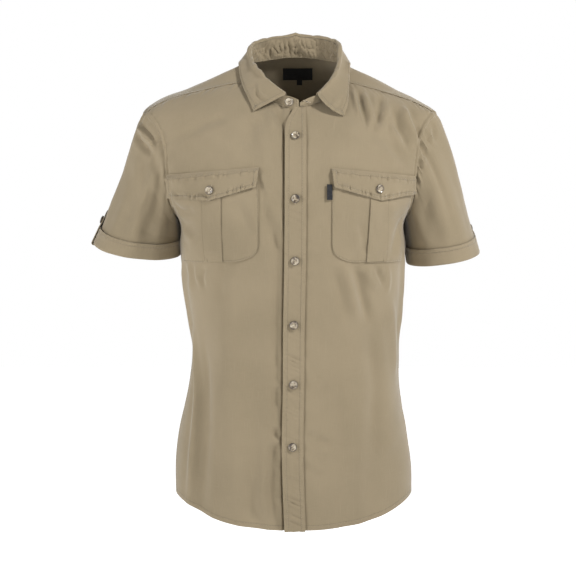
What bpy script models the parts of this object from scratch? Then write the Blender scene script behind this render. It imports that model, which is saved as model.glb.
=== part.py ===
# Short-sleeved safari shirt, filled out as worn and hollow inside.
# Millimetres throughout; finished meshes are scaled to metres.
# +Z is up, the front faces -Y, and the wearer's left side is at +X.
# The origin is the middle of the neck, level with the top of the shoulders.
import math

import bmesh
import bpy
import numpy as np

MM = 0.001
FRONT, BACK = 1, -1
RIGHT, LEFT = -1, 1             # the wearer's sides, as signs of x

# Cloth and seams
CLOTH = 1.2                     # wall of a single panel
BAND = 1.5                      # placket, collar and cuff walls
FLAP_CLOTH = 1.6
LAY = 0.35                      # air between two layers that lie on each other
SEAM_HALF = 0.2                 # each seam edge is drawn back by this

# Grid counts
HEM_ROWS = 15                   # hem to underarm
ARM_ROWS = 11                   # underarm to yoke, along the armhole
NECK_COLUMNS = 5                # front neckline
SEAM_COLUMNS = 10               # front yoke seam
CAP_COLUMNS = 5                 # armhole between the two yoke seams
BACK_COLUMNS = 20
SLEEVE_ROWS = 7
BOW_FADE = 4                    # how quickly a panel's end rows lose their own shape inwards

# Torso sections from the top down
TORSO_COLUMNS = ("height", "right_half", "left_half", "front", "back", "squareness")
TORSO = (
    (12, 60, 60, 2, 62, 2.1),
    (0, 74, 73, 8, 76, 2.1),
    (-13, 96, 89, 15, 86, 2.1),
    (-25, 124, 116, 23, 93, 2.1),
    (-38, 154, 142, 34, 101, 2.15),
    (-52, 187, 168, 48, 107, 2.2),
    (-60, 210, 186, 56, 110, 2.2),
    (-70, 230, 205, 65, 113, 2.2),
    (-87, 250, 231, 79, 117, 2.2),
    (-107, 251, 233, 92, 120, 2.2),
    (-120, 248, 231.5, 99, 122, 2.25),
    (-150, 239.5, 225.5, 114, 127, 2.3),
    (-180, 231.6, 216.5, 127, 130, 2.3),
    (-230, 212, 197, 140, 132, 2.3),
    (-267, 190, 178.5, 141, 131, 2.3),
    (-305, 188.5, 179.6, 138, 127, 2.3),
    (-361, 184, 175.6, 133, 120, 2.3),
    (-406, 177.5, 173.3, 130, 115, 2.3),
    (-446, 172.7, 171, 128, 112, 2.3),
    (-485, 170.3, 170.4, 127, 112, 2.3),
    (-525, 173.7, 170.6, 127, 114, 2.3),
    (-565, 182, 174.7, 128, 117, 2.3),
    (-605, 190.7, 182.5, 129, 120, 2.3),
    (-645, 196, 189, 130, 122, 2.3),
    (-685, 198, 191.8, 130, 124, 2.3),
    (-770, 196.5, 192, 129, 125, 2.3),
)

# Openings of the torso
NECK_HALF, NECK_FRONT, NECK_BACK = 80, 74, 62
NECK_TOP, YOKE_FLOOR = 12, -107          # heights between which the yoke lies
NECK_BACK_TURN = math.radians(112)       # neckline turn behind which the back yoke starts
ARMHOLE_MIDDLE, ARMHOLE_HALF_HEIGHT, ARMHOLE_HALF_DEPTH = -173, 86, 64
HEM_FRONT, HEM_BACK, HEM_RISE = -757, -765, 46

# Yoke seams
YOKE_NECK_DEPTH = 28            # how far forward the front seam starts
YOKE_ARM_DEPTH = 22             # and ends
YOKE_BOW = 5
YOKE_BACK_DEPTH = 40            # back end of the armhole's yoke stretch
YOKE_BACK_HEIGHT = -95

# Placket: middle line of the front fastening, then widths
FASTENING_COLUMNS = ("height", "x")
FASTENING = ((-80, -0.5), (-200, -0.7), (-323, -1.3), (-430, -3.2), (-530, -3.8), (-622, -5.2), (-770, -1))
FASTENING_TOP = -80.0
PLACKET_WIDTH = 33.5
PLACKET_HEM_DROP, PLACKET_NECK_DROP = 1.5, 1.5
PLACKET_UNDER = LAY + 0.15       # its underside over the fronts
PLACKET_TOP_CUTS = (((-17.5, -112), (-12, -98)), ((-12, -98), (-4, -84)))
FRONTS_MEET = 13                # the two fronts' edges, under the placket

# Largest folds: face, from x and z, to x and z, width, and a depth that is negative for a trough
FOLDS = (
    (FRONT, -30, -150, -31, -600, 11, -2.5),
    (FRONT, 82, -345, 112, -640, 40, 4.5),
    (FRONT, 52, -400, 68, -765, 32, -3.5),
    (FRONT, 142, -350, 150, -620, 28, 3.5),
    (FRONT, 128, -560, 118, -765, 24, -3),
    (FRONT, -108, -350, -98, -660, 44, 4),
    (FRONT, -146, -470, -156, -765, 26, -4),
    (FRONT, -70, -520, -62, -765, 30, -2.5),
    (FRONT, -196, -128, -120, -98, 14, -3),
    (FRONT, 186, -120, 118, -90, 13, -2.5),
    (BACK, -84, -150, -70, -765, 42, -4.5),
    (BACK, 92, -170, 74, -765, 46, -4.5),
    (BACK, 4, -260, -6, -765, 50, 4),
    (BACK, -140, -300, -128, -765, 30, 4),
    (BACK, 136, -330, 130, -765, 30, 3.5),
)
FOLD_FADE = 34                  # depth from the side seam over which folds die out

# Sleeve and cuff rings
RING_COLUMNS = ("middle_x", "middle_y", "middle_z", "half_x", "half_y", "tilt_x", "tilt_y")
CUFF_RINGS = {
    RIGHT: {"top": (-256, 12, -285, 62, 60, -0.12, 0.25),
            "bottom": (-262, 12, -309, 68.5, 63, -0.12, 0.25)},
    LEFT: {"top": (240, 12, -299, 55, 68, 0.15, 0.12),
           "bottom": (244, 12, -324, 58.5, 71, 0.15, 0.12)},
}
# Sleeve folds: turn and spread in degrees, depth, and where along the sleeve they start and end
SLEEVE_FOLDS = {
    RIGHT: ((-62, 17, -5, 0.15, 1), (-100, 20, 4, 0.1, 0.9), (-22, 13, -3, 0.3, 1),
            (70, 20, -4, 0.2, 1), (125, 22, 4, 0.2, 1)),
    LEFT: ((-55, 16, -4.5, 0.15, 1), (-92, 20, 4, 0.1, 1), (-20, 14, -3, 0.3, 1),
           (64, 20, -4, 0.2, 1), (120, 22, 4, 0.2, 1)),
}
SLEEVE_HEM_ROWS = 2             # sleeve rows under the cuff
SLEEVE_START_PULL, SLEEVE_END_PULL = 0.34, 0.3   # how far the sleeve keeps its end directions
SLEEVE_SAG, SLEEVE_TURN_DOWN = -0.25, 0.6
TAB_COLUMNS = 2                 # ring columns under a roll-up tab
TAB_TOP = 38                    # how far a tab stands above the cuff's seam
TAB_COVER = 3.1                 # tab's underside above the sleeve's cloth
TAB_BUTTON_CLEAR = 0.4          # for the tab's own curve under its button
TAB_TOP_DROP, TAB_MIDDLE_DROP = 1.6, 0.6   # how much lower it lies on the bare sleeve
TAB_INSIDE = CLOTH + 0.6        # its depth inside the sleeve
TAB_TAIL, TAB_TAIL_DROP = 20, 0.4          # its end, up inside the sleeve
TAB_TURN_DROP = 0.8

# Collar: the fold line round the neck, then the leaf's lower edge in plan
COLLAR_FOLD_COLUMNS = ("turn", "x_right", "x_left", "z_right", "z_left")
COLLAR_FOLD = (
    (12, 15.6, 33.6, -56, -56),
    (30, 36, 44.5, -40, -46),
    (49, 54, 60, -22.5, -27),
    (66, 66, 66.5, -8, -11),
    (82, 71, 69.5, 5, 3),
    (96, 73.5, 71, 17, 17),
    (112, 70, 69, 27.5, 28),
    (130, 57, 60, 33.5, 34.5),
    (150, 37, 38, 39.5, 40),
    (180, 0, 0, 44, 44),
)
LEAF_EDGE_COLUMNS = ("turn", "x_right", "x_left", "y_right", "y_left")
LEAF_EDGE = (
    (12, 68, 77.6, -77, -81),
    (30, 76, 83.5, -61, -68),
    (49, 84, 85.5, -43, -45),
    (66, 90, 87, -24, -26),
    (82, 92, 88, -7, -8),
    (96, 91, 88, 11, 11),
    (112, 84, 84, 32, 32),
    (130, 68, 68, 54, 54),
    (150, 40, 40, 70, 70),
    (180, 0, 0, 77, 77),
)
FOLD_LINE_FRONT, FOLD_LINE_BACK = 76, 60
COLLAR_TURNS = 32
COLLAR_FIRST_TURN = 12          # where the leaf starts, in degrees
COLLAR_ROLL = 3.6               # radius of the collar's fold
LEAF_CLIMB = 1.2                # how far the leaf rises off the stand before its fold
ROLL_ROWS, LEAF_ROWS = 4, 6
LEAF_CLEAR = 3.2                # leaf's edge above the cloth that it lies on
STAND_RISE = 0.7                # stand's lower edge above the neckline
STAND_END_RIGHT, STAND_END_LEFT = 3, 6.5
STAND_END_TOP = -63
STAND_BOW = 2.2                 # how far its middle swells out

# Pockets and flaps, as lines seen from the front: (x, z) pairs
POCKETS = {
    RIGHT: {"inner": -59.5, "floor": ((-79, -321), (-127, -327), (-183, -330)),
            "corner": ((-59.5, -299), (-65, -313), (-79, -321)),
            "back_edge": ((-62, -225), (-42, -330)),
            "top": ((-59, -185), (-207, -196)),
            "pleat": ((-150, -119.4), (-143, -115)),
            "flap": ((-58.5, -176), (-62, -207), (-136.5, -228.5), (-203, -224), (-207, -188)),
            "button": (-137, -212)},
    LEFT: {"inner": 57.6, "floor": ((72, -321), (111, -327), (171, -327)),
           "corner": ((57.6, -302), (62, -314), (72, -321)),
           "back_edge": ((-62, -225), (-49, -330)),
           "top": ((57, -186), (193, -199)),
           "pleat": ((119.2, 147), (111, 143.5)),
           "flap": ((56.8, -177), (60, -207.5), (134.5, -228), (190, -217.5), (193, -190)),
           "button": (132.9, -210)},
}
POCKET_MIDDLE, POCKET_REACH = -250, 90   # height of a pocket's sheet, and its reach up and down
POCKET_SPARE = 20               # and past the pocket's inner edge
PLEAT_LIFT = 1.7
PLEAT_SIDE = 1.4                # width of the pleat's rolled side
PLEAT_TOP, PLEAT_FLOOR = -200, -340
FLAP_LIFT = 3.6                 # flap's underside over the pocket
FLAP_ROOT = 8                   # height over which the flap rises from its seam
FLAP_MARGIN = 3                 # flap's end to the armhole seam

# Buttons
BUTTON_RADIUS, BUTTON_THICKNESS, BUTTON_RIM = 7, 2.6, 1.3
BUTTON_SIDES = 14
FRONT_BUTTONS = (-126.6, -225, -323, -426, -522, -622)
STAND_BUTTON_SHIFT = (-12, 1, 0)  # from the right end of the collar stand
BUTTON_SEAT = 0.45              # air under a button, for its thread
STAND_BUTTON_CLEAR = 0.6

# Labels, bare
LABEL_DEPTH = CLOTH + 0.9       # label's back under the yoke's outer face
NECK_LABEL = {"width": 50, "top": -14, "bottom": -33, "middle": 4, "cloth": 0.7}
SIZE_TAB = {"width": 9, "top": -29, "bottom": -40, "middle": 7, "cloth": 0.6}
POCKET_TAG = {"top": -203, "bottom": -227, "inner": 49, "outer": 59.5, "lift": 1.9, "cloth": 0.9}

# Colour, roughness
COLOURS = {
    "cloth": ((0.36, 0.29, 0.20, 1), 0.85),
    "button": ((0.50, 0.43, 0.33, 1), 0.35),
    "label": ((0.035, 0.033, 0.03, 1), 0.7),
    "tag": ((0.10, 0.09, 0.08, 1), 0.7),
}


def unit(v):
    return v / np.linalg.norm(v, axis=-1, keepdims=True)


def named(columns, rows):
    """Turns a table into arrays by column name."""
    data = np.array(rows, float)
    return {name: data[:, place] for place, name in enumerate(columns)}


def curve_through(at, values, wanted):
    """Smooth curve through the values, read at the wanted places."""
    slope = np.gradient(values, at)
    wanted = np.clip(wanted, at[0], at[-1])
    place = np.clip(np.searchsorted(at, wanted) - 1, 0, len(at) - 2)
    span = at[place + 1] - at[place]
    t = (wanted - at[place]) / span
    return ((2 * t ** 3 - 3 * t ** 2 + 1) * values[place] + (t ** 3 - 2 * t ** 2 + t) * span * slope[place]
            + (3 * t ** 2 - 2 * t ** 3) * values[place + 1] + (t ** 3 - t ** 2) * span * slope[place + 1])


TORSO_TABLE = named(TORSO_COLUMNS, TORSO[::-1])
FASTENING_TABLE = named(FASTENING_COLUMNS, FASTENING[::-1])


def section(z, column):
    return curve_through(TORSO_TABLE["height"], TORSO_TABLE[column], z)


def fastening(z):
    return curve_through(FASTENING_TABLE["height"], FASTENING_TABLE["x"], z)


def halves(x, y, z):
    """Half width and depth of the section at z, on the side that (x, y) is on."""
    half = np.where(x > 0, section(z, "left_half"), section(z, "right_half"))
    depth = np.where(y < 0, section(z, "front"), section(z, "back"))
    return half, depth


def torso(theta, z):
    """Point of the torso at the turn theta: 0 front, a quarter turn the wearer's left, a half turn back."""
    sine, cosine = np.sin(theta), np.cos(theta)
    half, depth = halves(sine, -cosine, z)
    power = 2 / section(z, "squareness")
    x = half * np.sign(sine) * np.abs(sine) ** power
    y = -depth * np.sign(cosine) * np.abs(cosine) ** power
    return np.stack([x, y, np.broadcast_to(z, x.shape)], -1)


def level(x, y, z):
    """Below 1 inside the torso's section at z, and above 1 outside it."""
    half, depth = halves(x, y, z)
    n = section(z, "squareness")
    return np.abs(x / half) ** n + np.abs(y / depth) ** n


def turn_of(p):
    half, depth = halves(p[..., 0], p[..., 1], p[..., 2])
    n = section(p[..., 2], "squareness") / 2
    sine = np.sign(p[..., 0]) * np.abs(p[..., 0] / half) ** n
    cosine = -np.sign(p[..., 1]) * np.abs(p[..., 1] / depth) ** n
    return np.arctan2(sine, cosine)


def height_over(x, y):
    """Height of the shoulders' cloth over the plan point (x, y)."""
    low = np.full(np.shape(x), float(YOKE_FLOOR))
    high = np.full(np.shape(x), float(NECK_TOP))
    for _ in range(40):
        middle = (low + high) / 2
        inside = level(x, y, middle) < 1
        low = np.where(inside, middle, low)
        high = np.where(inside, high, middle)
    return (low + high) / 2


def on_shoulders(x, y):
    return np.stack([x, y, height_over(x, y)], -1)


def normal_at(p):
    """Direction out of the torso's cloth."""
    x, y, z = p[..., 0], p[..., 1], p[..., 2]
    half, depth = halves(x, y, z)
    n = section(z, "squareness")
    along_x = n * np.sign(x) * np.abs(x / half) ** (n - 1) / half
    along_y = n * np.sign(y) * np.abs(y / depth) ** (n - 1) / depth
    along_z = (level(x, y, z + 0.5) - level(x, y, z - 0.5))
    out = np.stack([along_x, along_y, along_z], -1)
    return out / np.linalg.norm(out, axis=-1, keepdims=True)


def fold_height(p):
    """How far the folds lift the cloth, or sink it, at p."""
    x, y, z = p[..., 0], p[..., 1], p[..., 2]
    total = np.zeros(x.shape)
    for face, x0, z0, x1, z1, width, depth in FOLDS:
        run = np.array([x1 - x0, z1 - z0], float)
        t = ((x - x0) * run[0] + (z - z0) * run[1]) / (run @ run)
        t = np.clip(t, 0, 1)
        away = np.hypot(x - x0 - t * run[0], z - z0 - t * run[1])
        profile = np.cos(np.minimum(away / width, 1) * math.pi / 2) ** 2
        swell = np.minimum(1, 0.35 + 2.2 * t)
        total += np.where(-y * face > 0, depth * profile * swell, 0)
    return total * np.clip(np.abs(y) / FOLD_FADE, 0, 1) ** 2


def cloth_at(p):
    """Puts the folds on bare torso points, and gives the points with their outward directions."""
    out = normal_at(p)
    return p + out * fold_height(p)[..., None], out


def patch(bottom, top, left, right):
    """Grid between four edges that share their corners; the end rows' shapes fade out quickly inwards."""
    rows, columns = len(left), len(bottom)
    v = np.linspace(0, 1, rows)[:, None, None]
    u = np.linspace(0, 1, columns)[None, :, None]
    level_rows = (1 - u) * left[:, None] + u * right[:, None]
    bottom_bow = bottom[None] - (1 - u) * bottom[0] - u * bottom[-1]
    top_bow = top[None] - (1 - u) * top[0] - u * top[-1]
    return level_rows + (1 - v) ** BOW_FADE * bottom_bow + v ** BOW_FADE * top_bow


def pull(edge, inner):
    """Short step from a seam towards the inside of its piece."""
    return SEAM_HALF * unit(inner - edge)


def drawn_back(points):
    """Draws a sheet's edges back from the seams."""
    new = points.copy()
    new[0] += pull(points[0], points[1])
    new[-1] += pull(points[-1], points[-2])
    new[:, 0] += pull(points[:, 0], points[:, 1])
    new[:, -1] += pull(points[:, -1], points[:, -2])
    return new


def off_armhole(new, points, column, side, face):
    """Draws a front's or back's armhole edge straight back from the seam, all the way round."""
    rows = slice(HEM_ROWS, None)
    inner = column + (1 if column == 0 else -1)
    new[rows, column] = points[rows, column] - SEAM_HALF * into_armhole(side, armhole_turns(face))
    new[HEM_ROWS, column] += pull(points[HEM_ROWS, column], points[HEM_ROWS, inner])
    new[-1, column] += pull(points[-1, column], points[-2, column])


# Mesh helpers

def sheet(points, out, wrap=False):
    """Open mesh of a grid of points; each vertex keeps its outward direction."""
    rows, columns = points.shape[:2]
    mesh = bmesh.new()
    keep = mesh.verts.layers.float_vector.new("out")
    bmesh.ops.create_grid(mesh, x_segments=columns - 1, y_segments=rows - 1, size=1)
    mesh.verts.ensure_lookup_table()
    for vertex, place, direction in zip(mesh.verts, points.reshape(-1, 3), out.reshape(-1, 3)):
        vertex.co = place * MM
        vertex[keep] = direction
    if wrap:
        pairs = {mesh.verts[row * columns + columns - 1]: mesh.verts[row * columns] for row in range(rows)}
        bmesh.ops.weld_verts(mesh, targetmap=pairs)
    bmesh.ops.triangulate(mesh, faces=mesh.faces[:], quad_method="FIXED")
    return mesh


def keep_side(mesh, point, direction):
    """Cuts a sheet by a plane and keeps the side that direction points to."""
    geometry = mesh.verts[:] + mesh.edges[:] + mesh.faces[:]
    bmesh.ops.bisect_plane(mesh, geom=geometry, dist=1e-6, plane_co=[c * MM for c in point],
                           plane_no=direction, clear_inner=True)


def score(mesh, point, direction):
    """Cuts a line into a sheet and keeps both sides."""
    geometry = mesh.verts[:] + mesh.edges[:] + mesh.faces[:]
    bmesh.ops.bisect_plane(mesh, geom=geometry, dist=1e-6, plane_co=[c * MM for c in point],
                           plane_no=direction)


def cut_along(mesh, start, end, inside):
    """Cuts a sheet straight back along a line seen from the front, keeping the side of inside."""
    across = np.array([end[1] - start[1], 0, start[0] - end[0]], float)
    across /= np.linalg.norm(across)
    towards = np.array([inside[0] - start[0], 0, inside[1] - start[1]])
    if across @ towards < 0:
        across = -across
    keep_side(mesh, (start[0], 0, start[1]), across)


def thickness(under, over):
    """Wall between two even heights over the sheet."""
    return (lambda place: under), (lambda place: over)


def wall(name, mesh, heights, finish):
    """Extrudes a sheet into a closed wall between two heights over it."""
    under, over = heights
    keep = mesh.verts.layers.float_vector["out"]
    lower = mesh.verts[:]
    grown = bmesh.ops.extrude_face_region(mesh, geom=mesh.faces[:], use_keep_orig=True)
    upper = [item for item in grown["geom"] if isinstance(item, bmesh.types.BMVert)]
    for group, rise in ((lower, under), (upper, over)):
        for vertex in group:
            place = np.array(vertex.co) / MM
            direction = np.array(vertex[keep])
            direction /= np.linalg.norm(direction)
            vertex.co = (place + direction * rise(place)) * MM
    return solid(name, mesh, finish)


def solid(name, mesh, finish):
    bmesh.ops.recalc_face_normals(mesh, faces=mesh.faces[:])
    if mesh.calc_volume(signed=True) < 0:
        bmesh.ops.reverse_faces(mesh, faces=mesh.faces[:])
    data = bpy.data.meshes.new(name)
    mesh.to_mesh(data)
    mesh.free()
    data.shade_smooth()
    data.set_sharp_from_angle(angle=math.radians(40))
    piece = bpy.data.objects.new(name, data)
    bpy.context.scene.collection.objects.link(piece)
    piece.data.materials.append(material(name, finish))
    return piece


def material(name, finish):
    colour, roughness = COLOURS[finish]
    made = bpy.data.materials.new(name)
    made.use_nodes = True
    shader = made.node_tree.nodes["Principled BSDF"]
    shader.inputs["Base Color"].default_value = colour
    shader.inputs["Roughness"].default_value = roughness
    shader.inputs["Metallic"].default_value = 0
    return made


# Edges that panels share

def hem_height(theta):
    middle = np.where(np.cos(theta) > 0, HEM_FRONT, HEM_BACK)
    side = HEM_FRONT + HEM_RISE
    return middle + (side - middle) * np.sin(theta) ** 2 * np.abs(np.sin(theta)) ** 0.4


def armhole(side, turn):
    """Armhole point: turn 0 at the top, negative to the front, a half turn at the underarm."""
    z = ARMHOLE_MIDDLE + ARMHOLE_HALF_HEIGHT * np.cos(turn)
    y = ARMHOLE_HALF_DEPTH * np.sin(turn)
    half, depth = halves(np.full(np.shape(y), float(side)), y, z)
    n = section(z, "squareness")
    x = side * half * (1 - np.abs(y / depth) ** n) ** (1 / n)
    return np.stack([x, y, z], -1)


def into_armhole(side, turn):
    """Direction along the torso's cloth from the armhole's edge into its opening."""
    out = normal_at(armhole(side, turn))
    along = armhole(side, turn + 0.01) - armhole(side, turn - 0.01)
    return side * unit(np.cross(along, out))


ARM_TURN_FRONT = -math.asin(YOKE_ARM_DEPTH / ARMHOLE_HALF_DEPTH)
ARM_TURN_BACK = math.asin(YOKE_BACK_DEPTH / ARMHOLE_HALF_DEPTH)
YOKE_NECK_TURN = math.acos(YOKE_NECK_DEPTH / NECK_FRONT)


def armhole_turns(face):
    """Turns of a front's or back's armhole edge, from the underarm up."""
    end = ARM_TURN_FRONT if face == FRONT else ARM_TURN_BACK
    return np.linspace(-face * math.pi, end, ARM_ROWS + 1)


def neckline_plan(turn):
    """Plan point of the neckline: turn 0 at the front, positive to the wearer's left."""
    reach = np.where(np.cos(turn) > 0, NECK_FRONT, NECK_BACK)
    return np.stack([NECK_HALF * np.sin(turn), -reach * np.cos(turn)], -1)


def front_seam_plan(side):
    """Front yoke seam in plan, from the neckline out to the armhole."""
    start = neckline_plan(side * YOKE_NECK_TURN)
    end = armhole(side, np.array(ARM_TURN_FRONT))[:2]
    t = np.linspace(0, 1, SEAM_COLUMNS + 1)[:, None]
    line = start + (end - start) * t
    line[:, 1] -= YOKE_BOW * np.sin(math.pi * t[:, 0])
    return line


def torso_points(theta, z):
    return np.stack([theta, z], -1)


def turns_and_heights(p):
    theta = turn_of(p)
    return torso_points(theta, p[..., 2])


def side_edge(side, face):
    """Side seam and armhole of a front or a back, as turns and heights, from the hem up."""
    low = hem_height(math.pi / 2)
    seam_z = np.linspace(low, ARMHOLE_MIDDLE - ARMHOLE_HALF_HEIGHT, HEM_ROWS + 1)
    seam = torso_points(np.full(HEM_ROWS + 1, side * math.pi / 2), seam_z)
    hole = turns_and_heights(armhole(side, armhole_turns(face)[1:]))
    return np.concatenate([seam, hole])


def front_edge_turn(z):
    """Turn of the fronts' meeting edge at height z."""
    x = fastening(z) + FRONTS_MEET
    half = section(z, "left_half")
    return np.arcsin((x / half) ** (section(z, "squareness") / 2))


def front_rows(neck_z):
    """Heights of the fronts' rows at their meeting edge, spaced as the side seam and armhole are."""
    outer = side_edge(LEFT, FRONT)[:, 1]
    return HEM_FRONT + (neck_z - HEM_FRONT) * (outer - outer[0]) / (outer[-1] - outer[0])


def front_grid(side):
    """Bare torso points of a front: rows from the hem up, columns from the middle out."""
    outer = side_edge(side, FRONT)
    start_turn = math.asin((FRONTS_MEET + fastening(np.array(FASTENING_TOP))) / NECK_HALF)
    neck_turns = np.linspace(start_turn, side * YOKE_NECK_TURN, NECK_COLUMNS + 1)
    neck_plan = neckline_plan(neck_turns)
    plan = np.concatenate([neck_plan[:-1], front_seam_plan(side)])
    top = turns_and_heights(on_shoulders(plan[:, 0], plan[:, 1]))
    top[-1] = outer[-1]
    middle_z = front_rows(top[0, 1])
    middle = torso_points(front_edge_turn(middle_z), middle_z)
    middle[-1] = top[0]
    hem_turns = np.linspace(middle[0, 0], side * math.pi / 2, NECK_COLUMNS + SEAM_COLUMNS + 1)
    hem = torso_points(hem_turns, hem_height(hem_turns))
    middle[0] = hem[0]
    grid = patch(hem, top, middle, outer)
    return torso(grid[..., 0], grid[..., 1])


def yoke_outer_plan():
    """Outer edge of the yoke from the wearer's right front round the back, as points."""
    turns = np.linspace(ARM_TURN_FRONT, ARM_TURN_BACK, CAP_COLUMNS + 1)
    right_cap, left_cap = armhole(RIGHT, turns), armhole(LEFT, turns)[::-1]
    ends = turns_and_heights(np.stack([right_cap[-1], left_cap[0]]))
    share = np.linspace(0, 1, BACK_COLUMNS + 1)
    theta = -ends[0, 0] + (2 * math.pi - ends[1, 0] + ends[0, 0]) * share
    theta = -theta
    z = ends[0, 1] + (ends[1, 1] - ends[0, 1]) * share
    z += (YOKE_BACK_HEIGHT - z) * np.sin(math.pi * share) ** 0.7
    back = torso(theta, z)
    back[0], back[-1] = right_cap[-1], left_cap[0]
    return np.concatenate([right_cap[:-1], back, left_cap[1:]])


def back_grid():
    """Bare torso points of the back: rows from the hem up, columns from the wearer's right to left."""
    right, left = side_edge(RIGHT, BACK), side_edge(LEFT, BACK)
    left[:, 0] -= 2 * math.pi
    seam = yoke_outer_plan()[CAP_COLUMNS:CAP_COLUMNS + BACK_COLUMNS + 1]
    top = turns_and_heights(seam)
    top[:, 0] = np.where(top[:, 0] > 0, top[:, 0] - 2 * math.pi, top[:, 0])
    top[0], top[-1] = right[-1], left[-1]
    turns = np.linspace(right[0, 0], left[0, 0], BACK_COLUMNS + 1)
    hem = torso_points(turns, hem_height(turns))
    grid = patch(hem, top, right, left)
    return torso(grid[..., 0], grid[..., 1])


def yoke_grid():
    """Bare torso points of the yoke: rows from the neckline out."""
    outer = yoke_outer_plan()
    columns = len(outer)
    cap = np.linspace(YOKE_NECK_TURN, NECK_BACK_TURN, CAP_COLUMNS + 1)
    rear = np.linspace(NECK_BACK_TURN, 2 * math.pi - NECK_BACK_TURN, BACK_COLUMNS + 1)
    turns = -np.concatenate([cap[:-1], rear, (2 * math.pi - cap[::-1])[1:]])
    inner = neckline_plan(turns)
    v = np.linspace(0, 1, SEAM_COLUMNS + 1)[:, None, None]
    plan = inner[None] + (outer[None, :, :2] - inner[None]) * v
    u = np.linspace(0, 1, columns)[None, :, None]
    for side, weight in ((RIGHT, (1 - u) ** 3), (LEFT, u ** 3)):
        column = 0 if side == RIGHT else -1
        plan = plan + (front_seam_plan(side)[:, None] - plan[:, column][:, None]) * weight
    points = on_shoulders(plan[..., 0], plan[..., 1])
    points[-1] = outer
    return points


def armhole_ring(side):
    """Armhole points all round, from the underarm up the front and down the back."""
    front = np.linspace(-math.pi, ARM_TURN_FRONT, ARM_ROWS + 1)[:-1]
    cap = np.linspace(ARM_TURN_FRONT, ARM_TURN_BACK, CAP_COLUMNS + 1)[:-1]
    back = np.linspace(ARM_TURN_BACK, math.pi, ARM_ROWS + 1)
    return np.concatenate([front, cap, back])


def ring(side, level_name, turns):
    row = dict(zip(RING_COLUMNS, CUFF_RINGS[side][level_name]))
    x = side * row["half_x"] * np.cos(turns)
    y = row["half_y"] * np.sin(turns)
    z = row["middle_z"] + row["tilt_x"] * x + row["tilt_y"] * y
    return np.stack([row["middle_x"] + x, row["middle_y"] + y, z], -1)


def sleeve_grid(side):
    """Sleeve points and outward directions: rows from the armhole down, columns round the arm."""
    turns = armhole_ring(side)
    bare = armhole(side, turns)
    start, torso_out = cloth_at(bare)
    top, bottom = ring(side, "top", turns), ring(side, "bottom", turns)
    leave = into_armhole(side, turns)
    reach = np.linalg.norm(top - start, axis=-1, keepdims=True)
    over = ((1 + np.cos(turns)) / 2)[:, None]
    sideways = np.array([side, 0, SLEEVE_SAG])
    first = unit(over * leave + (1 - over) * sideways + SLEEVE_TURN_DOWN * unit(top - start))
    last = unit(bottom - top)
    rows = []
    for t in np.linspace(0, 1, SLEEVE_ROWS + 1):
        p1 = start + first * reach * SLEEVE_START_PULL
        p2 = top - last * reach * SLEEVE_END_PULL
        rows.append((1 - t) ** 3 * start + 3 * t * (1 - t) ** 2 * p1 + 3 * t * t * (1 - t) * p2 + t ** 3 * top)
    for step in range(1, SLEEVE_HEM_ROWS + 1):
        rows.append(top + (bottom - top) * step / SLEEVE_HEM_ROWS)
    points = np.array(rows)
    out = sleeve_out(points, side)
    points += out * sleeve_folds(side, turns, len(points))[..., None]
    out = sleeve_out(points, side)
    under = ((1 - np.cos(turns)) / 2)[:, None]
    out[0] = unit(torso_out + out[0] * under)
    points[0] += SEAM_HALF * leave
    points[:, -1], out[:, -1] = points[:, 0], out[:, 0]
    return points, out


def sleeve_out(points, side):
    """Outward directions of a sleeve's grid, whose last column repeats the first."""
    body = points[:, :-1]
    round_arm = np.roll(body, -1, axis=1) - np.roll(body, 1, axis=1)
    down = np.gradient(body, axis=0)
    out = unit(np.cross(down, round_arm)) * side
    return np.concatenate([out, out[:, :1]], axis=1)


def sleeve_folds(side, turns, rows):
    t = np.minimum(np.arange(rows) / SLEEVE_ROWS, 1)[:, None]
    total = np.zeros((rows, len(turns)))
    for turn, spread, depth, start, end in SLEEVE_FOLDS[side]:
        away = np.abs((turns - math.radians(turn) + math.pi) % (2 * math.pi) - math.pi)
        profile = np.cos(np.minimum(away / math.radians(spread), 1) * math.pi / 2) ** 2
        along = np.clip((t - start) / 0.25, 0, 1) * np.clip((end - t) / 0.25 + 0.35, 0, 1)
        total += depth * profile[None] * along
    return total


# The pieces

def make_front(side, name):
    points, out = cloth_at(front_grid(side))
    edged = drawn_back(points)
    off_armhole(edged, points, -1, side, FRONT)
    wall(name, sheet(edged, out), thickness(-CLOTH, 0), "cloth")
    return points, out


def make_back():
    points, out = cloth_at(back_grid())
    edged = drawn_back(points)
    off_armhole(edged, points, 0, RIGHT, BACK)
    off_armhole(edged, points, -1, LEFT, BACK)
    wall("back", sheet(edged, out), thickness(-CLOTH, 0), "cloth")


def make_placket():
    """Band down the wearer's left front, over both fronts' edges."""
    z = front_rows(float(height_over(0.0, -NECK_FRONT)))
    z[0] -= PLACKET_HEM_DROP
    z[-1] -= PLACKET_NECK_DROP
    across = np.linspace(-0.5, 0.5, 5) * PLACKET_WIDTH
    x = fastening(z)[:, None] + across[None]
    heights = np.broadcast_to(z[:, None], x.shape)
    half = np.where(x > 0, section(heights, "left_half"), section(heights, "right_half"))
    theta = np.sign(x) * np.arcsin((np.abs(x) / half) ** (section(heights, "squareness") / 2))
    points, out = cloth_at(torso(theta, heights))
    band = sheet(points, out)
    for start, end in PLACKET_TOP_CUTS:
        cut_along(band, start, end, (0, -200))
    wall("placket", band, thickness(PLACKET_UNDER, PLACKET_UNDER + BAND), "cloth")


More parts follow.
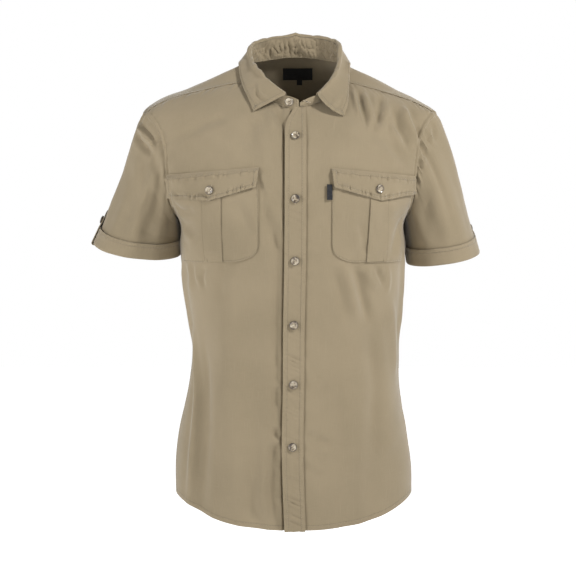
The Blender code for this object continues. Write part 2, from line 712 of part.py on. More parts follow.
def pocket_sheet(side, points, out):
    """The front's own sheet, cut down to the pocket's neighbourhood."""
    mesh = sheet(points, out)
    reach = POCKETS[side]["inner"] - side * POCKET_SPARE
    keep_side(mesh, (reach, 0, 0), (side, 0, 0))
    keep_side(mesh, (0, 0, POCKET_MIDDLE + POCKET_REACH), (0, 0, -1))
    keep_side(mesh, (0, 0, POCKET_MIDDLE - POCKET_REACH), (0, 0, 1))
    return mesh


def armhole_margin(mesh, side, margin):
    """Keeps a piece off the armhole seam."""
    seam = armhole(side, np.radians([-60, -90, -120, -150]))
    for a, b in zip(seam[:-1], seam[1:]):
        start = (a[0] - side * margin, a[2])
        end = (b[0] - side * margin, b[2])
        cut_along(mesh, start, end, (side * 100, -250))


def make_pocket(side, name, points, out):
    plan = POCKETS[side]
    mesh = pocket_sheet(side, points, out)
    inside = (side * 110, -260)
    keep_side(mesh, (plan["inner"], 0, 0), (side, 0, 0))
    cut_along(mesh, *plan["top"], inside)
    for outline in (plan["corner"], plan["floor"]):
        for start, end in zip(outline[:-1], outline[1:]):
            cut_along(mesh, start, end, inside)
    (y0, z0), (y1, z1) = plan["back_edge"]
    edge = np.array([0, z1 - z0, y0 - y1], float)
    edge *= -np.sign(edge[1])
    keep_side(mesh, (0, y0, z0), edge / np.linalg.norm(edge))
    armhole_margin(mesh, side, FLAP_MARGIN)
    (top_a, top_b), (low_a, low_b) = plan["pleat"]
    lines = []
    for top_x, low_x, inward in ((top_a, low_a, 1), (top_b, low_b, -1)):
        slope = np.array([PLEAT_TOP - PLEAT_FLOOR, 0, low_x - top_x], float)
        slope /= np.linalg.norm(slope)
        for shift in (0, PLEAT_SIDE * inward):
            score(mesh, (top_x + shift, 0, PLEAT_TOP), slope)
        lines.append((top_x, low_x))

    def lift(place):
        t = (PLEAT_TOP - place[2]) / (PLEAT_TOP - PLEAT_FLOOR)
        left, right = (a + (b - a) * t for a, b in lines)
        into = min(place[0] - left, right - place[0])
        return PLEAT_LIFT * min(1, max(0, into / PLEAT_SIDE))

    wall(name, mesh, (lambda p: LAY + lift(p), lambda p: LAY + CLOTH + lift(p)), "cloth")


def make_flap(side, name, points, out):
    plan = POCKETS[side]["flap"]
    mesh = pocket_sheet(side, points, out)
    inside = (side * 120, -205)
    corners = plan + plan[:1]
    for start, end in zip(corners[:-1], corners[1:]):
        cut_along(mesh, start, end, inside)
    armhole_margin(mesh, side, FLAP_MARGIN)
    (x0, z0), (x1, z1) = plan[0], plan[-1]
    slope = np.array([x1 - x0, 0, z1 - z0]) / math.hypot(x1 - x0, z1 - z0)
    down = np.cross(slope, [0, 1, 0])
    down *= -np.sign(down[2])
    score(mesh, np.array([x0, 0, z0]) + down * FLAP_ROOT, down)

    def rise(place):
        drop = (place - np.array([x0, 0, z0])) @ down
        return LAY + (FLAP_LIFT - LAY) * min(1, max(0, drop / FLAP_ROOT))

    wall(name, mesh, (rise, lambda p: rise(p) + FLAP_CLOTH), "cloth")


def make_sleeve(side, word):
    points, out = sleeve_grid(side)
    length = points.shape[0]
    wall("sleeve_" + word, sheet(points, out, wrap=True), thickness(-CLOTH, 0), "cloth")
    turned_up = slice(length - 1 - SLEEVE_HEM_ROWS, length)
    wall("cuff_" + word, sheet(points[turned_up], out[turned_up], wrap=True),
         thickness(LAY, LAY + BAND), "cloth")
    make_tab(side, word, points, out)


def make_tab(side, word, points, out):
    """Roll-up tab down the outer side, over the cuff and round its lower edge."""
    first = ARM_ROWS + (1 if side == RIGHT else 3)
    columns = slice(first, first + TAB_COLUMNS + 1)
    top, bottom = points[-1 - SLEEVE_HEM_ROWS, columns], points[-1, columns]
    above = points[-2 - SLEEVE_HEM_ROWS, columns]
    out_low = out[-1, columns]
    up = unit(above - top)
    down = unit(bottom - top)
    route = [(top + up * TAB_TOP, out[-2 - SLEEVE_HEM_ROWS, columns], TAB_COVER - TAB_TOP_DROP),
             (top + up * TAB_TOP / 2, out[-1 - SLEEVE_HEM_ROWS, columns], TAB_COVER - TAB_MIDDLE_DROP),
             (top, out[-1 - SLEEVE_HEM_ROWS, columns], TAB_COVER),
             (bottom, out_low, TAB_COVER)]
    strip, facing = [], []
    for place, direction, lift in route:
        strip.append(place + direction * lift)
        facing.append(direction)
    radius = (TAB_COVER + TAB_INSIDE) / 2
    for quarter in (45, 90, 135):
        angle = math.radians(quarter)
        side_way = out_low * math.cos(angle) + down * math.sin(angle)
        centre = bottom + down * TAB_TURN_DROP + out_low * (TAB_COVER - radius)
        strip.append(centre + side_way * radius)
        facing.append(side_way)
    inner = bottom - out_low * TAB_INSIDE
    strip.append(inner)
    facing.append(-out_low)
    strip.append(inner - down * TAB_TAIL - out_low * TAB_TAIL_DROP)
    facing.append(-out_low)
    strip, facing = np.array(strip), unit(np.array(facing))
    wall("tab_" + word, sheet(strip, facing), thickness(0, CLOTH), "cloth")
    middle = TAB_COLUMNS // 2
    direction = unit(facing[0, middle] + facing[1, middle])
    seat = (strip[0, middle] + strip[1, middle]) / 2 + direction * (CLOTH + TAB_BUTTON_CLEAR)
    make_button("button_tab_" + word, seat, direction)


def collar_lines():
    """Neckline, fold line and leaf edge at even turns from the right end round to the left."""
    fold = named(COLLAR_FOLD_COLUMNS, COLLAR_FOLD)
    edge = named(LEAF_EDGE_COLUMNS, LEAF_EDGE)
    from_back = np.linspace(COLLAR_FIRST_TURN - 180, 180 - COLLAR_FIRST_TURN, COLLAR_TURNS + 1)
    size = 180 - np.abs(from_back)
    right = from_back < 0
    side = np.where(right, -1.0, 1.0)

    def pick(table, name):
        on_right = curve_through(table["turn"], table[name + "_right"], size)
        on_left = curve_through(table["turn"], table[name + "_left"], size)
        return np.where(right, on_right, on_left)

    angle = np.radians(size)
    plan = neckline_plan(angle)
    plan[:, 0] *= side
    neck, _ = cloth_at(on_shoulders(plan[:, 0], plan[:, 1]))
    reach = np.where(np.cos(angle) > 0, FOLD_LINE_FRONT, FOLD_LINE_BACK)
    line = np.stack([side * pick(fold, "x"), -reach * np.cos(angle), pick(fold, "z")], -1)
    ends = np.stack([side * pick(edge, "x"), pick(edge, "y")], -1)
    rest, rest_out = cloth_at(on_shoulders(ends[:, 0], ends[:, 1]))
    return neck, line, rest + rest_out * LEAF_CLEAR


def flat_out(line):
    """Level outward directions of a line that runs from the right front round the back."""
    run = np.gradient(line, axis=0)
    out = np.stack([-run[:, 1], run[:, 0], np.zeros(len(line))], -1)
    return unit(out)


def make_collar():
    neck, line, edge = collar_lines()
    root = line - [0, 0, COLLAR_ROLL + LEAF_CLIMB]
    root_out = flat_out(root)
    neck_out = flat_out(neck)
    leaf(root, root_out, edge)
    stand(neck, neck_out, root, root_out)


def stand(neck, neck_out, root, root_out):
    """Upright band round the neckline, with a button end past each end of the leaf."""
    ends = []
    for x_end, index in ((STAND_END_RIGHT, 0), (STAND_END_LEFT, -1)):
        x = neck[index, 0] + (x_end - neck[index, 0]) * np.array([0.5, 1])
        plan = np.stack([x, -NECK_FRONT * np.sqrt(1 - (x / NECK_HALF) ** 2)], -1)
        low = on_shoulders(plan[:, 0], plan[:, 1])
        high = np.stack([root[index, 0] + (x_end - root[index, 0]) * np.array([0.5, 1]),
                         np.full(2, -FOLD_LINE_FRONT * 0.985), np.array([STAND_END_TOP, STAND_END_TOP - 3])], -1)
        ends.append((low, high))
    (right_low, right_high), (left_low, left_high) = ends
    low = np.concatenate([right_low[::-1], neck, left_low]) + [0, 0, STAND_RISE]
    high = np.concatenate([right_high[::-1], root, left_high])
    out_low, out_high = flat_out(low), flat_out(high)
    rows, outs = [], []
    for t in np.linspace(0, 1, 4):
        rows.append(low + (high - low) * t + out_low * STAND_BOW * math.sin(math.pi * t))
        outs.append(unit(out_low + (out_high - out_low) * t))
    points, out = np.array(rows), np.array(outs)
    wall("collar_stand", sheet(points, out), thickness(-BAND, 0), "cloth")
    middle = (points[1, 0] + points[2, 0]) / 2
    make_button("button_stand", middle + STAND_BUTTON_SHIFT + out[1, 1] * STAND_BUTTON_CLEAR, out[1, 1])


def leaf(root, root_out, edge):
    """The turned-down collar: up from the stand, over the fold and down to its edge."""
    centre = root + root_out * (COLLAR_ROLL - BAND) + [0, 0, LEAF_CLIMB]
    rows, outs = [root - root_out * BAND + [0, 0, 0.4]], [-root_out]
    up = np.array([0, 0, 1.0])
    for step in range(ROLL_ROWS + 1):
        angle = math.pi * (1 - step / ROLL_ROWS)
        way = root_out * math.cos(angle) + up * math.sin(angle)
        rows.append(centre + way * COLLAR_ROLL)
        outs.append(way)
    start = rows[-1]
    fall = edge - start
    size = np.linalg.norm(fall, axis=-1, keepdims=True)
    p1 = start - up * size * 0.3
    p2 = edge + unit(root_out * 0.4 + up) * size * 0.3
    for t in np.linspace(0, 1, LEAF_ROWS + 1)[1:]:
        rows.append((1 - t) ** 3 * start + 3 * t * (1 - t) ** 2 * p1 + 3 * t * t * (1 - t) * p2 + t ** 3 * edge)
    points = np.array(rows)
    run = np.gradient(points, axis=1)
    down = np.gradient(points, axis=0)
    grown = unit(np.cross(run, down))
    grown *= np.sign(np.sum(grown * outs[-1][None], axis=-1, keepdims=True).mean(axis=0, keepdims=True))
    out = grown.copy()
    out[:ROLL_ROWS + 2] = np.array(outs)
    wall("collar_fall", sheet(points, out), thickness(-BAND, 0), "cloth")


def make_button(name, seat, out):
    """Turned disc with a raised rim, its foot on seat and its face along out."""
    profile = ((0, 0), (BUTTON_RADIUS - 1.5, 0), (BUTTON_RADIUS, 0.9), (BUTTON_RADIUS - 0.1, BUTTON_THICKNESS - 0.4),
               (BUTTON_RADIUS - BUTTON_RIM / 2, BUTTON_THICKNESS), (BUTTON_RADIUS - 2 * BUTTON_RIM, BUTTON_THICKNESS - 0.7),
               (0, BUTTON_THICKNESS - 0.8))
    mesh = bmesh.new()
    line = [mesh.verts.new((radius * MM, 0, (height + BUTTON_SEAT) * MM)) for radius, height in profile]
    edges = [mesh.edges.new(pair) for pair in zip(line[:-1], line[1:])]
    bmesh.ops.spin(mesh, geom=line + edges, cent=(0, 0, 0), axis=(0, 0, 1), angle=2 * math.pi,
                   steps=BUTTON_SIDES, use_merge=True)
    bmesh.ops.remove_doubles(mesh, verts=mesh.verts[:], dist=1e-6)
    z = unit(np.array(out, float))
    x = unit(np.cross([0, 0, 1.0], z))
    y = np.cross(z, x)
    for vertex in mesh.verts:
        a, b, c = vertex.co
        vertex.co = np.array(seat) * MM + x * a + y * b + z * c
    solid(name, mesh, "button")


def front_point(x, z):
    """Cloth of a front at (x, z) as seen from the front, with its outward direction."""
    half = section(z, "left_half" if x > 0 else "right_half")
    theta = math.copysign(math.asin((abs(x) / half) ** (section(z, "squareness") / 2)), x)
    point, out = cloth_at(torso(np.array([theta]), np.array([float(z)])))
    return point[0], out[0]


def make_front_buttons():
    for number, z in enumerate(FRONT_BUTTONS, 1):
        place, out = front_point(float(fastening(z)), z)
        make_button("button_%d" % number, place + out * (PLACKET_UNDER + BAND), out)
    for side, word in ((RIGHT, "right"), (LEFT, "left")):
        place, out = front_point(*POCKETS[side]["button"])
        make_button("button_flap_" + word, place + out * (FLAP_LIFT + FLAP_CLOTH), out)


def inside_strip(name, plan, under, finish):
    """Label on the inner face of the yoke's back."""
    z = np.linspace(plan["bottom"], plan["top"], 3)
    x = plan["middle"] + np.linspace(-0.5, 0.5, 7) * plan["width"]
    xs, zs = np.meshgrid(x, z)
    half = np.where(xs > 0, section(zs, "left_half"), section(zs, "right_half"))
    theta = math.pi - np.sign(xs) * np.arcsin((np.abs(xs) / half) ** (section(zs, "squareness") / 2))
    points, out = cloth_at(torso(theta, zs))
    wall(name, sheet(points, out), thickness(-under - plan["cloth"], -under), finish)


def make_pocket_tag(points, out):
    """Small bare tag caught in the inner edge of the wearer's left pocket."""
    mesh = sheet(points, out)
    keep_side(mesh, (POCKET_TAG["inner"], 0, 0), (1, 0, 0))
    keep_side(mesh, (POCKET_TAG["outer"], 0, 0), (-1, 0, 0))
    keep_side(mesh, (0, 0, POCKET_TAG["top"]), (0, 0, -1))
    keep_side(mesh, (0, 0, POCKET_TAG["bottom"]), (0, 0, 1))
    wall("pocket_tag", mesh, thickness(POCKET_TAG["lift"], POCKET_TAG["lift"] + POCKET_TAG["cloth"]), "tag")


def clear_scene():
    for piece in list(bpy.data.objects):
        bpy.data.objects.remove(piece, do_unlink=True)


def main():
    clear_scene()
    fronts = {}
    for side, word in ((RIGHT, "right"), (LEFT, "left")):
        fronts[side] = make_front(side, "front_" + word)
        make_pocket(side, "pocket_" + word, *fronts[side])
        make_flap(side, "flap_" + word, *fronts[side])
        make_sleeve(side, word)
    make_back()
    points, out = cloth_at(yoke_grid())
    wall("yoke", sheet(drawn_back(points), out), thickness(-CLOTH, 0), "cloth")
    make_placket()
    make_collar()
    make_front_buttons()
    inside_strip("neck_label", NECK_LABEL, LABEL_DEPTH, "label")
    inside_strip("size_tab", SIZE_TAB, LABEL_DEPTH + NECK_LABEL["cloth"] + LAY, "label")
    make_pocket_tag(*fronts[LEFT])


main()
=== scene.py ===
import math
import random

import bmesh
import bpy
import numpy as np
from mathutils import Matrix, Vector, noise


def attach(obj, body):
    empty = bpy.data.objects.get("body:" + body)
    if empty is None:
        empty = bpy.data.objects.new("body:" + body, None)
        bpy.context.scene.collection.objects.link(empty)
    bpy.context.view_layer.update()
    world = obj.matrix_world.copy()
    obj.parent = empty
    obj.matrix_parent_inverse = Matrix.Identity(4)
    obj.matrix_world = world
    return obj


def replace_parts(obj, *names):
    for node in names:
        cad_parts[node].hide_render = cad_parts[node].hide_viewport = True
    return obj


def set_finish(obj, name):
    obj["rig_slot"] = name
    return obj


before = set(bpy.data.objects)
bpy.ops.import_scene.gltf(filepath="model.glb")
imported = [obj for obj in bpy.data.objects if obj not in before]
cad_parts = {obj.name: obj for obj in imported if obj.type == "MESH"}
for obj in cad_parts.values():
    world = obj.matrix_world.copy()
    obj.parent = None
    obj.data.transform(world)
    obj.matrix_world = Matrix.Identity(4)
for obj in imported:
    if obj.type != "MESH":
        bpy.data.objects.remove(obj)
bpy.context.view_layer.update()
mm = 0.001
right, left = -1, 1        # the wearer's sides, as signs of x
sides = ((right, "right"), (left, "left"))
front, back = 1, -1
pieces = {}

# Form of the body, in millimetres: height, right half, left half, front, back, squareness
body = {
    "sections": (
        (12, 60, 60, 2, 62, 2.1), (0, 74, 73, 8, 76, 2.1), (-13, 96, 89, 15, 86, 2.1),
        (-25, 124, 116, 23, 93, 2.1), (-38, 154, 142, 34, 101, 2.15), (-52, 187, 168, 48, 107, 2.2),
        (-60, 210, 186, 56, 110, 2.2), (-70, 230, 205, 65, 113, 2.2), (-87, 250, 231, 79, 117, 2.2),
        (-107, 251, 233, 92, 120, 2.2), (-120, 248, 231.5, 99, 122, 2.25), (-150, 239.5, 225.5, 114, 127, 2.3),
        (-180, 231.6, 216.5, 127, 130, 2.3), (-230, 212, 197, 140, 132, 2.3), (-267, 190, 178.5, 141, 131, 2.3),
        (-305, 188.5, 179.6, 138, 127, 2.3), (-361, 184, 175.6, 133, 120, 2.3), (-406, 177.5, 173.3, 130, 115, 2.3),
        (-446, 172.7, 171, 128, 112, 2.3), (-485, 170.3, 170.4, 127, 112, 2.3), (-525, 173.7, 170.6, 127, 114, 2.3),
        (-565, 182, 174.7, 128, 117, 2.3), (-605, 190.7, 182.5, 129, 120, 2.3), (-645, 196, 189, 130, 122, 2.3),
        (-685, 198, 191.8, 130, 124, 2.3), (-770, 196.5, 192, 129, 125, 2.3)),
    "fastening": ((-80, -0.5), (-200, -0.7), (-323, -1.3), (-430, -3.2), (-530, -3.8), (-622, -5.2), (-770, -1)),
    "neckHalf": 80, "neckFront": 74, "neckBack": 62, "neckTop": 12, "yokeFloor": -107,
    "armholeMiddle": -173, "armholeHalfHeight": 86, "armholeHalfDepth": 64,
    "hemFront": -757, "hemBack": -765, "hemRise": 46,
    "yokeNeckDepth": 28, "yokeArmDepth": 22, "yokeBow": 5, "yokeBackDepth": 40, "yokeBackHeight": -95,
    "cloth": 1.1,            # thickness of one layer
    "relief": 2.1,           # how strong the creases below are
    "bowFade": 4, "foldFade": 34, "foldStart": 0.35, "foldGrowth": 2.2,
    "ripples": ((1.2, 70, 3), (0.32, 24, 9)),
}

# Large folds: face, from x and z, to x and z, width, depth
bigFolds = (
    (front, -30, -150, -31, -600, 11, -2.5), (front, 82, -345, 112, -640, 40, 4.5),
    (front, 52, -400, 68, -765, 32, -3.5), (front, 142, -350, 150, -620, 28, 3.5),
    (front, 128, -560, 118, -765, 24, -3), (front, -108, -350, -98, -660, 44, 4),
    (front, -146, -470, -156, -765, 26, -4), (front, -70, -520, -62, -765, 30, -2.5),
    (front, -196, -128, -120, -98, 14, -3), (front, 186, -120, 118, -90, 13, -2.5),
    (back, -84, -150, -70, -765, 42, -4.5), (back, 92, -170, 74, -765, 46, -4.5),
    (back, 4, -260, -6, -765, 50, 4), (back, -140, -300, -128, -765, 30, 4), (back, 136, -330, 130, -765, 30, 3.5))

# Creases, given one by one: three points, then width and depth
# Front and back points are x and z, side points are turn in degrees and z
creases = {
    "front": (
        # under the left yoke seam
        (102, -50, 107, -82, 118, -116, 4.6, -2.3), (92, -48, 97, -70, 103, -96, 4, 1.2),
        (112, -54, 120, -84, 132, -112, 4.6, 1.9), (138, -58, 133, -88, 122, -126, 5, -2.0),
        (150, -70, 146, -96, 138, -122, 5, 1.5), (158, -80, 168, -112, 186, -150, 7, -3.0),
        (174, -76, 182, -102, 198, -136, 6, 3.0), (196, -108, 202, -136, 208, -164, 4.6, -1.9),
        (120, -120, 146, -138, 176, -168, 9, -1.2), (144, -112, 160, -140, 184, -166, 12, -1.8),
        (92, -96, 88, -128, 96, -160, 14, 1.6),
        # right chest
        (-150, -92, -120, -128, -70, -168, 24, 1.6), (-178, -120, -140, -150, -96, -172, 16, -1.2),
        (-66, -92, -74, -118, -78, -148, 12, -1.4), (-46, -104, -50, -140, -46, -186, 12, 1.2),
        (36, -110, 40, -150, 38, -200, 13, -1.2),
        # beside the placket on the right, from the collar's end and from the pocket
        (-33, -78, -26, -96, -19, -116, 7, -1.6), (-44, -84, -36, -110, -30, -140, 8, 1.4),
        (-54, -226, -40, -272, -20, -312, 11, -1.3), (-40, -222, -30, -262, -22, -284, 9, 1.5),
        (-56, -182, -48, -200, -42, -226, 5, 1.3),
        # on the pockets
        (160, -232, 150, -262, 144, -296, 11, 0.6), (172, -250, 160, -290, 152, -322, 10, -1.4),
        (84, -240, 92, -276, 104, -304, 13, 1.2), (98, -262, 106, -290, 110, -316, 8, -1.2),
        (-196, -236, -178, -246, -160, -242, 8, -1.8), (-188, -262, -176, -282, -160, -296, 9, 1.3),
        (-100, -228, -84, -250, -72, -290, 12, -1.1),
        # under the right pocket
        (-146, -334, -150, -352, -148, -372, 5, -1.3), (-176, -330, -170, -352, -172, -380, 8, 1.2),
        (-160, -332, -160, -350, -156, -362, 5, 0.9), (-110, -330, -118, -356, -120, -390, 9, -0.9),
        # under the left pocket
        (112, -332, 120, -356, 132, -372, 7, 1.4), (128, -334, 136, -352, 142, -366, 5, -1.6),
        (146, -334, 150, -356, 146, -380, 6, 1.1), (92, -328, 104, -372, 118, -430, 9, -2.2),
        (72, -322, 84, -366, 98, -430, 9, 2.0), (62, -330, 70, -372, 82, -420, 9, -1.3),
        (150, -380, 158, -450, 160, -520, 13, 1.7),
        # long soft ones below
        (112, -430, 126, -520, 122, -610, 14, -1.6), (72, -500, 88, -590, 84, -690, 17, 1.5),
        (36, -600, 44, -650, 40, -700, 15, -1.2), (22, -470, 30, -500, 42, -520, 8, -0.9),
        (20, -596, 34, -612, 60, -622, 8, -1.3), (22, -640, 30, -652, 46, -664, 7, 1.0),
        (-166, -430, -163, -560, -176, -730, 8, 2.4), (-150, -440, -146, -600, -158, -740, 11, -1.8),
        (-120, -400, -112, -500, -118, -600, 22, 1.1), (-30, -610, -38, -660, -34, -752, 9, -2.4),
        (-44, -650, -54, -690, -50, -745, 10, 1.4), (-62, -630, -74, -690, -72, -750, 14, -1.2),
    ),
    "side": (
        # sides, from the underarm down
        (86, -262, 96, -320, 92, -400, 12, -3.0), (104, -268, 108, -340, 102, -430, 10, 2.2),
        (78, -300, 84, -380, 80, -470, 11, 1.8), (92, -440, 98, -540, 90, -650, 14, -2.2),
        (110, -470, 106, -560, 112, -700, 12, 1.8), (-88, -262, -97, -330, -91, -420, 12, -3.0),
        (-106, -266, -104, -350, -110, -440, 10, 2.0), (-80, -320, -84, -390, -78, -480, 11, 1.6),
        (-94, -470, -99, -560, -92, -700, 14, -2.0), (-112, -450, -108, -560, -114, -680, 12, 1.7),
    ),
    "back": (
        # back, hanging from the shoulder blades
        (-150, -150, -128, -230, -120, -330, 13, -2.6), (-168, -170, -150, -250, -146, -340, 9, 1.9),
        (146, -146, 126, -220, 122, -330, 13, -2.6), (166, -176, 150, -260, 140, -350, 9, 1.9),
        (-52, -110, -44, -220, -50, -350, 17, -1.8), (56, -110, 50, -240, 58, -380, 17, -1.8),
        (-20, -130, -26, -260, -18, -420, 15, 1.5), (24, -150, 30, -300, 22, -460, 14, 1.4),
        (-100, -440, -60, -466, -14, -470, 15, 1.9), (-90, -476, -40, -500, 16, -498, 12, -1.8),
        (100, -450, 58, -478, 18, -486, 14, 1.8), (110, -500, 70, -520, 20, -520, 13, -1.5),
        (-110, -520, -100, -640, -106, -760, 14, 1.8), (104, -540, 96, -640, 104, -760, 15, 1.8),
        (-36, -560, -44, -660, -38, -764, 14, -1.7), (40, -580, 34, -680, 42, -764, 14, -1.6),
    ),
}


def unit(v):
    return v / np.linalg.norm(v, axis=-1, keepdims=True)


def bell(away, middle, width):
    return np.exp(-((away - middle) / width) ** 2)


def hump(away, width):
    # 1 at the middle, falling to 0 at the width
    return np.cos(np.minimum(away / width, 1) * math.pi / 2) ** 2


def arch(t, margin=0.02):
    # half a wave from 0 to 1, cut off a little at both ends
    return np.sin(math.pi * np.clip(t, margin, 1 - margin))


def ramped(value, start, size):
    # 0 up to the start, 1 from start + size on
    return np.clip((value - start) / size, 0, 1)


def eased(t):
    return t * t * (3 - 2 * t)


def curveThrough(at, values, wanted):
    slope = np.gradient(values, at)
    wanted = np.clip(wanted, at[0], at[-1])
    place = np.clip(np.searchsorted(at, wanted) - 1, 0, len(at) - 2)
    span = at[place + 1] - at[place]
    t = (wanted - at[place]) / span
    return ((2 * t ** 3 - 3 * t ** 2 + 1) * values[place] + (t ** 3 - 2 * t ** 2 + t) * span * slope[place]
            + (3 * t ** 2 - 2 * t ** 3) * values[place + 1] + (t ** 3 - t ** 2) * span * slope[place + 1])


def table(columns, rows):
    data = np.array(sorted(rows), float)
    return {name: data[:, place] for place, name in enumerate(columns)}


sections = table(("z", "right", "left", "front", "back", "square"), body["sections"])
fasteningLine = table(("z", "x"), body["fastening"])


def section(z, column):
    return curveThrough(sections["z"], sections[column], z)


def fastening(z):
    return curveThrough(fasteningLine["z"], fasteningLine["x"], z)


def halves(x, y, z):
    return np.where(x > 0, section(z, "left"), section(z, "right")), \
        np.where(y < 0, section(z, "front"), section(z, "back"))


def torso(theta, z):
    # turn 0 is the middle front, a quarter turn the wearer's left, a half turn the back
    sine, cosine = np.sin(theta), np.cos(theta)
    half, depth = halves(sine, -cosine, z)
    power = 2 / section(z, "square")
    x = half * np.sign(sine) * np.abs(sine) ** power
    y = -depth * np.sign(cosine) * np.abs(cosine) ** power
    return np.stack([x, y, np.broadcast_to(z, x.shape)], -1)


def level(x, y, z):
    half, depth = halves(x, y, z)
    n = section(z, "square")
    return np.abs(x / half) ** n + np.abs(y / depth) ** n


def turnOf(p):
    half, depth = halves(p[..., 0], p[..., 1], p[..., 2])
    n = section(p[..., 2], "square") / 2
    return np.arctan2(np.sign(p[..., 0]) * np.abs(p[..., 0] / half) ** n,
                      -np.sign(p[..., 1]) * np.abs(p[..., 1] / depth) ** n)


def turnAt(x, z):
    # turn of the front's cloth at x, seen from the front
    half = halves(x, -1, z)[0]
    return np.sign(x) * np.arcsin(np.clip(np.abs(x) / half, 0, 1) ** (section(z, "square") / 2))


def heightOver(x, y):
    low, high = np.full(np.shape(x), float(body["yokeFloor"])), np.full(np.shape(x), float(body["neckTop"]))
    for _ in range(36):
        middle = (low + high) / 2
        inside = level(x, y, middle) < 1
        low, high = np.where(inside, middle, low), np.where(inside, high, middle)
    return (low + high) / 2


def onShoulders(x, y):
    return np.stack([x, y, heightOver(x, y)], -1)


def normalAt(p):
    x, y, z = p[..., 0], p[..., 1], p[..., 2]
    half, depth = halves(x, y, z)
    n = section(z, "square")
    alongX = n * np.sign(x) * np.abs(x / half) ** (n - 1) / half
    alongY = n * np.sign(y) * np.abs(y / depth) ** (n - 1) / depth
    return unit(np.stack([alongX, alongY, level(x, y, z + 0.5) - level(x, y, z - 0.5)], -1))


def foldHeight(p):
    x, y, z = p[..., 0], p[..., 1], p[..., 2]
    total = np.zeros(x.shape)
    for face, x0, z0, x1, z1, width, depth in bigFolds:
        run = np.array([x1 - x0, z1 - z0], float)
        t = np.clip(((x - x0) * run[0] + (z - z0) * run[1]) / (run @ run), 0, 1)
        away = np.hypot(x - x0 - t * run[0], z - z0 - t * run[1])
        growth = np.minimum(1, body["foldStart"] + body["foldGrowth"] * t)
        total += np.where(-y * face > 0, depth * hump(away, width) * growth, 0)
    return total * np.clip(np.abs(y) / body["foldFade"], 0, 1) ** 2


def smoothLine(points, count=14):
    points = np.array(points, float)
    at = np.arange(len(points))
    wanted = np.linspace(0, len(points) - 1, count)
    return np.stack([curveThrough(at, points[:, k], wanted) for k in range(points.shape[1])], -1)


def lineAlong(wanted, at, line):
    return np.stack([np.interp(wanted, at, line[:, k]) for k in range(line.shape[1])], -1)


def creaseLine(kind, points):
    line = smoothLine(np.reshape(points, (-1, 2)))
    turns = np.radians(line[:, 0]) if kind == "side" else turnAt(line[:, 0], line[:, 1])
    if kind == "back":
        turns = math.pi - turns
    return torso(turns, line[:, 1])


def nearLine(p, line):
    # distance to a line, and how far along it the nearest place is
    best, along = np.full(len(p), 1e9), np.zeros(len(p))
    for k in range(len(line) - 1):
        run = line[k + 1] - line[k]
        t = np.clip((p - line[k]) @ run / (run @ run), 0, 1)
        away = np.linalg.norm(p - line[k] - t[:, None] * run, axis=1)
        closer = away < best
        best = np.where(closer, away, best)
        along = np.where(closer, (k + t) / (len(line) - 1), along)
    return best, along


def creaseShape(away, along, width, depth):
    # round at its middle, with a shallow lip on each side, and fading out at both ends
    form = creaseForm
    middle = form["height"] * np.exp(-(np.hypot(away, form["rounding"] * width) / width) ** form["power"])
    lip = form["lip"] * bell(away, form["lipAt"] * width, width)
    return depth * (middle - lip) * np.clip(arch(along) * form["ends"], 0, 1)


creaseForm = {"height": 1.2, "rounding": 0.42, "power": 1.8, "lip": 0.3, "lipAt": 1.7, "ends": 1.5}
creaseLines = [(creaseLine(kind, row[:6]), row[6], row[7] * body["relief"])
               for kind, rows in creases.items() for row in rows]


def creaseHeight(p):
    flat = p.reshape(-1, 3)
    total = np.zeros(len(flat))
    for line, width, depth in creaseLines:
        margin = 3.5 * width
        close = np.all((flat > line.min(0) - margin) & (flat < line.max(0) + margin), axis=1)
        if close.any():
            total[close] += creaseShape(*nearLine(flat[close], line), width, depth)
    return total.reshape(p.shape[:-1])


def creasesOver(first, second, rows, scale=(1, 1), fromEnd=0):
    # height of the creases on a piece's own two measures; one below 0 counts back from the end
    flat = np.stack([first.ravel(), second.ravel()], -1)
    total = np.zeros(len(flat))
    for row in rows:
        places = np.reshape(row[:6], (3, 2)).astype(float)
        places[:, 0] += np.where(places[:, 0] < 0, fromEnd, 0)
        line = smoothLine(places, 10)
        total += creaseShape(*nearLine(flat, line * scale), *row[6:])
    return total.reshape(first.shape)


def ripple(p, size, seed):
    flat = (p.reshape(-1, 3) / size + seed).tolist()
    return np.array([noise.noise(v) for v in flat]).reshape(p.shape[:-1])


def rippled(p, rows):
    return sum(depth * ripple(p, size, seed) for depth, size, seed in rows)


def clothAt(p):
    out = normalAt(p)
    lift = foldHeight(p) + creaseHeight(p) + rippled(p, body["ripples"])
    return p + out * lift[..., None], out


def onFront(x, z):
    return clothAt(torso(turnAt(x, z), z))


def wobble(run, seed):
    # smooth uneven wave between -1 and 1 along a seam
    values = np.random.default_rng(seed).uniform(-1, 1, 4096)
    place = np.floor(run).astype(int)
    t = eased(run - place)
    return values[place % 4096] * (1 - t) + values[(place + 1) % 4096] * t


# Small puckers: depth, length of one, distance from the seam, width of the band, seed
puckers = {"placketSeam": (0.7, 11, 6, 14, 5), "armhole": (0.9, 4.4, 11, 8, 12), "yokeSeam": (1.4, 5, 6, 10, 14),
           "besidePlacket": (2.0, 13, 8, 7, 6), "pocket": (0.3, 7, 9, 5, 90), "flapEdge": (2.0, 3.2, 5, 3.6, 60),
           "flapTop": (1.5, 3.6, 9, 3.8, 62), "leafEdge": (0.35, 8, 6, 4, 15), "leafFold": (1.3, 9, 0.12, 0.14, 16)}


def puckered(name, run, away, side=0):
    depth, length, middle, width, seed = puckers[name]
    return depth * wobble(run / length, seed + side) * bell(away, middle, width)


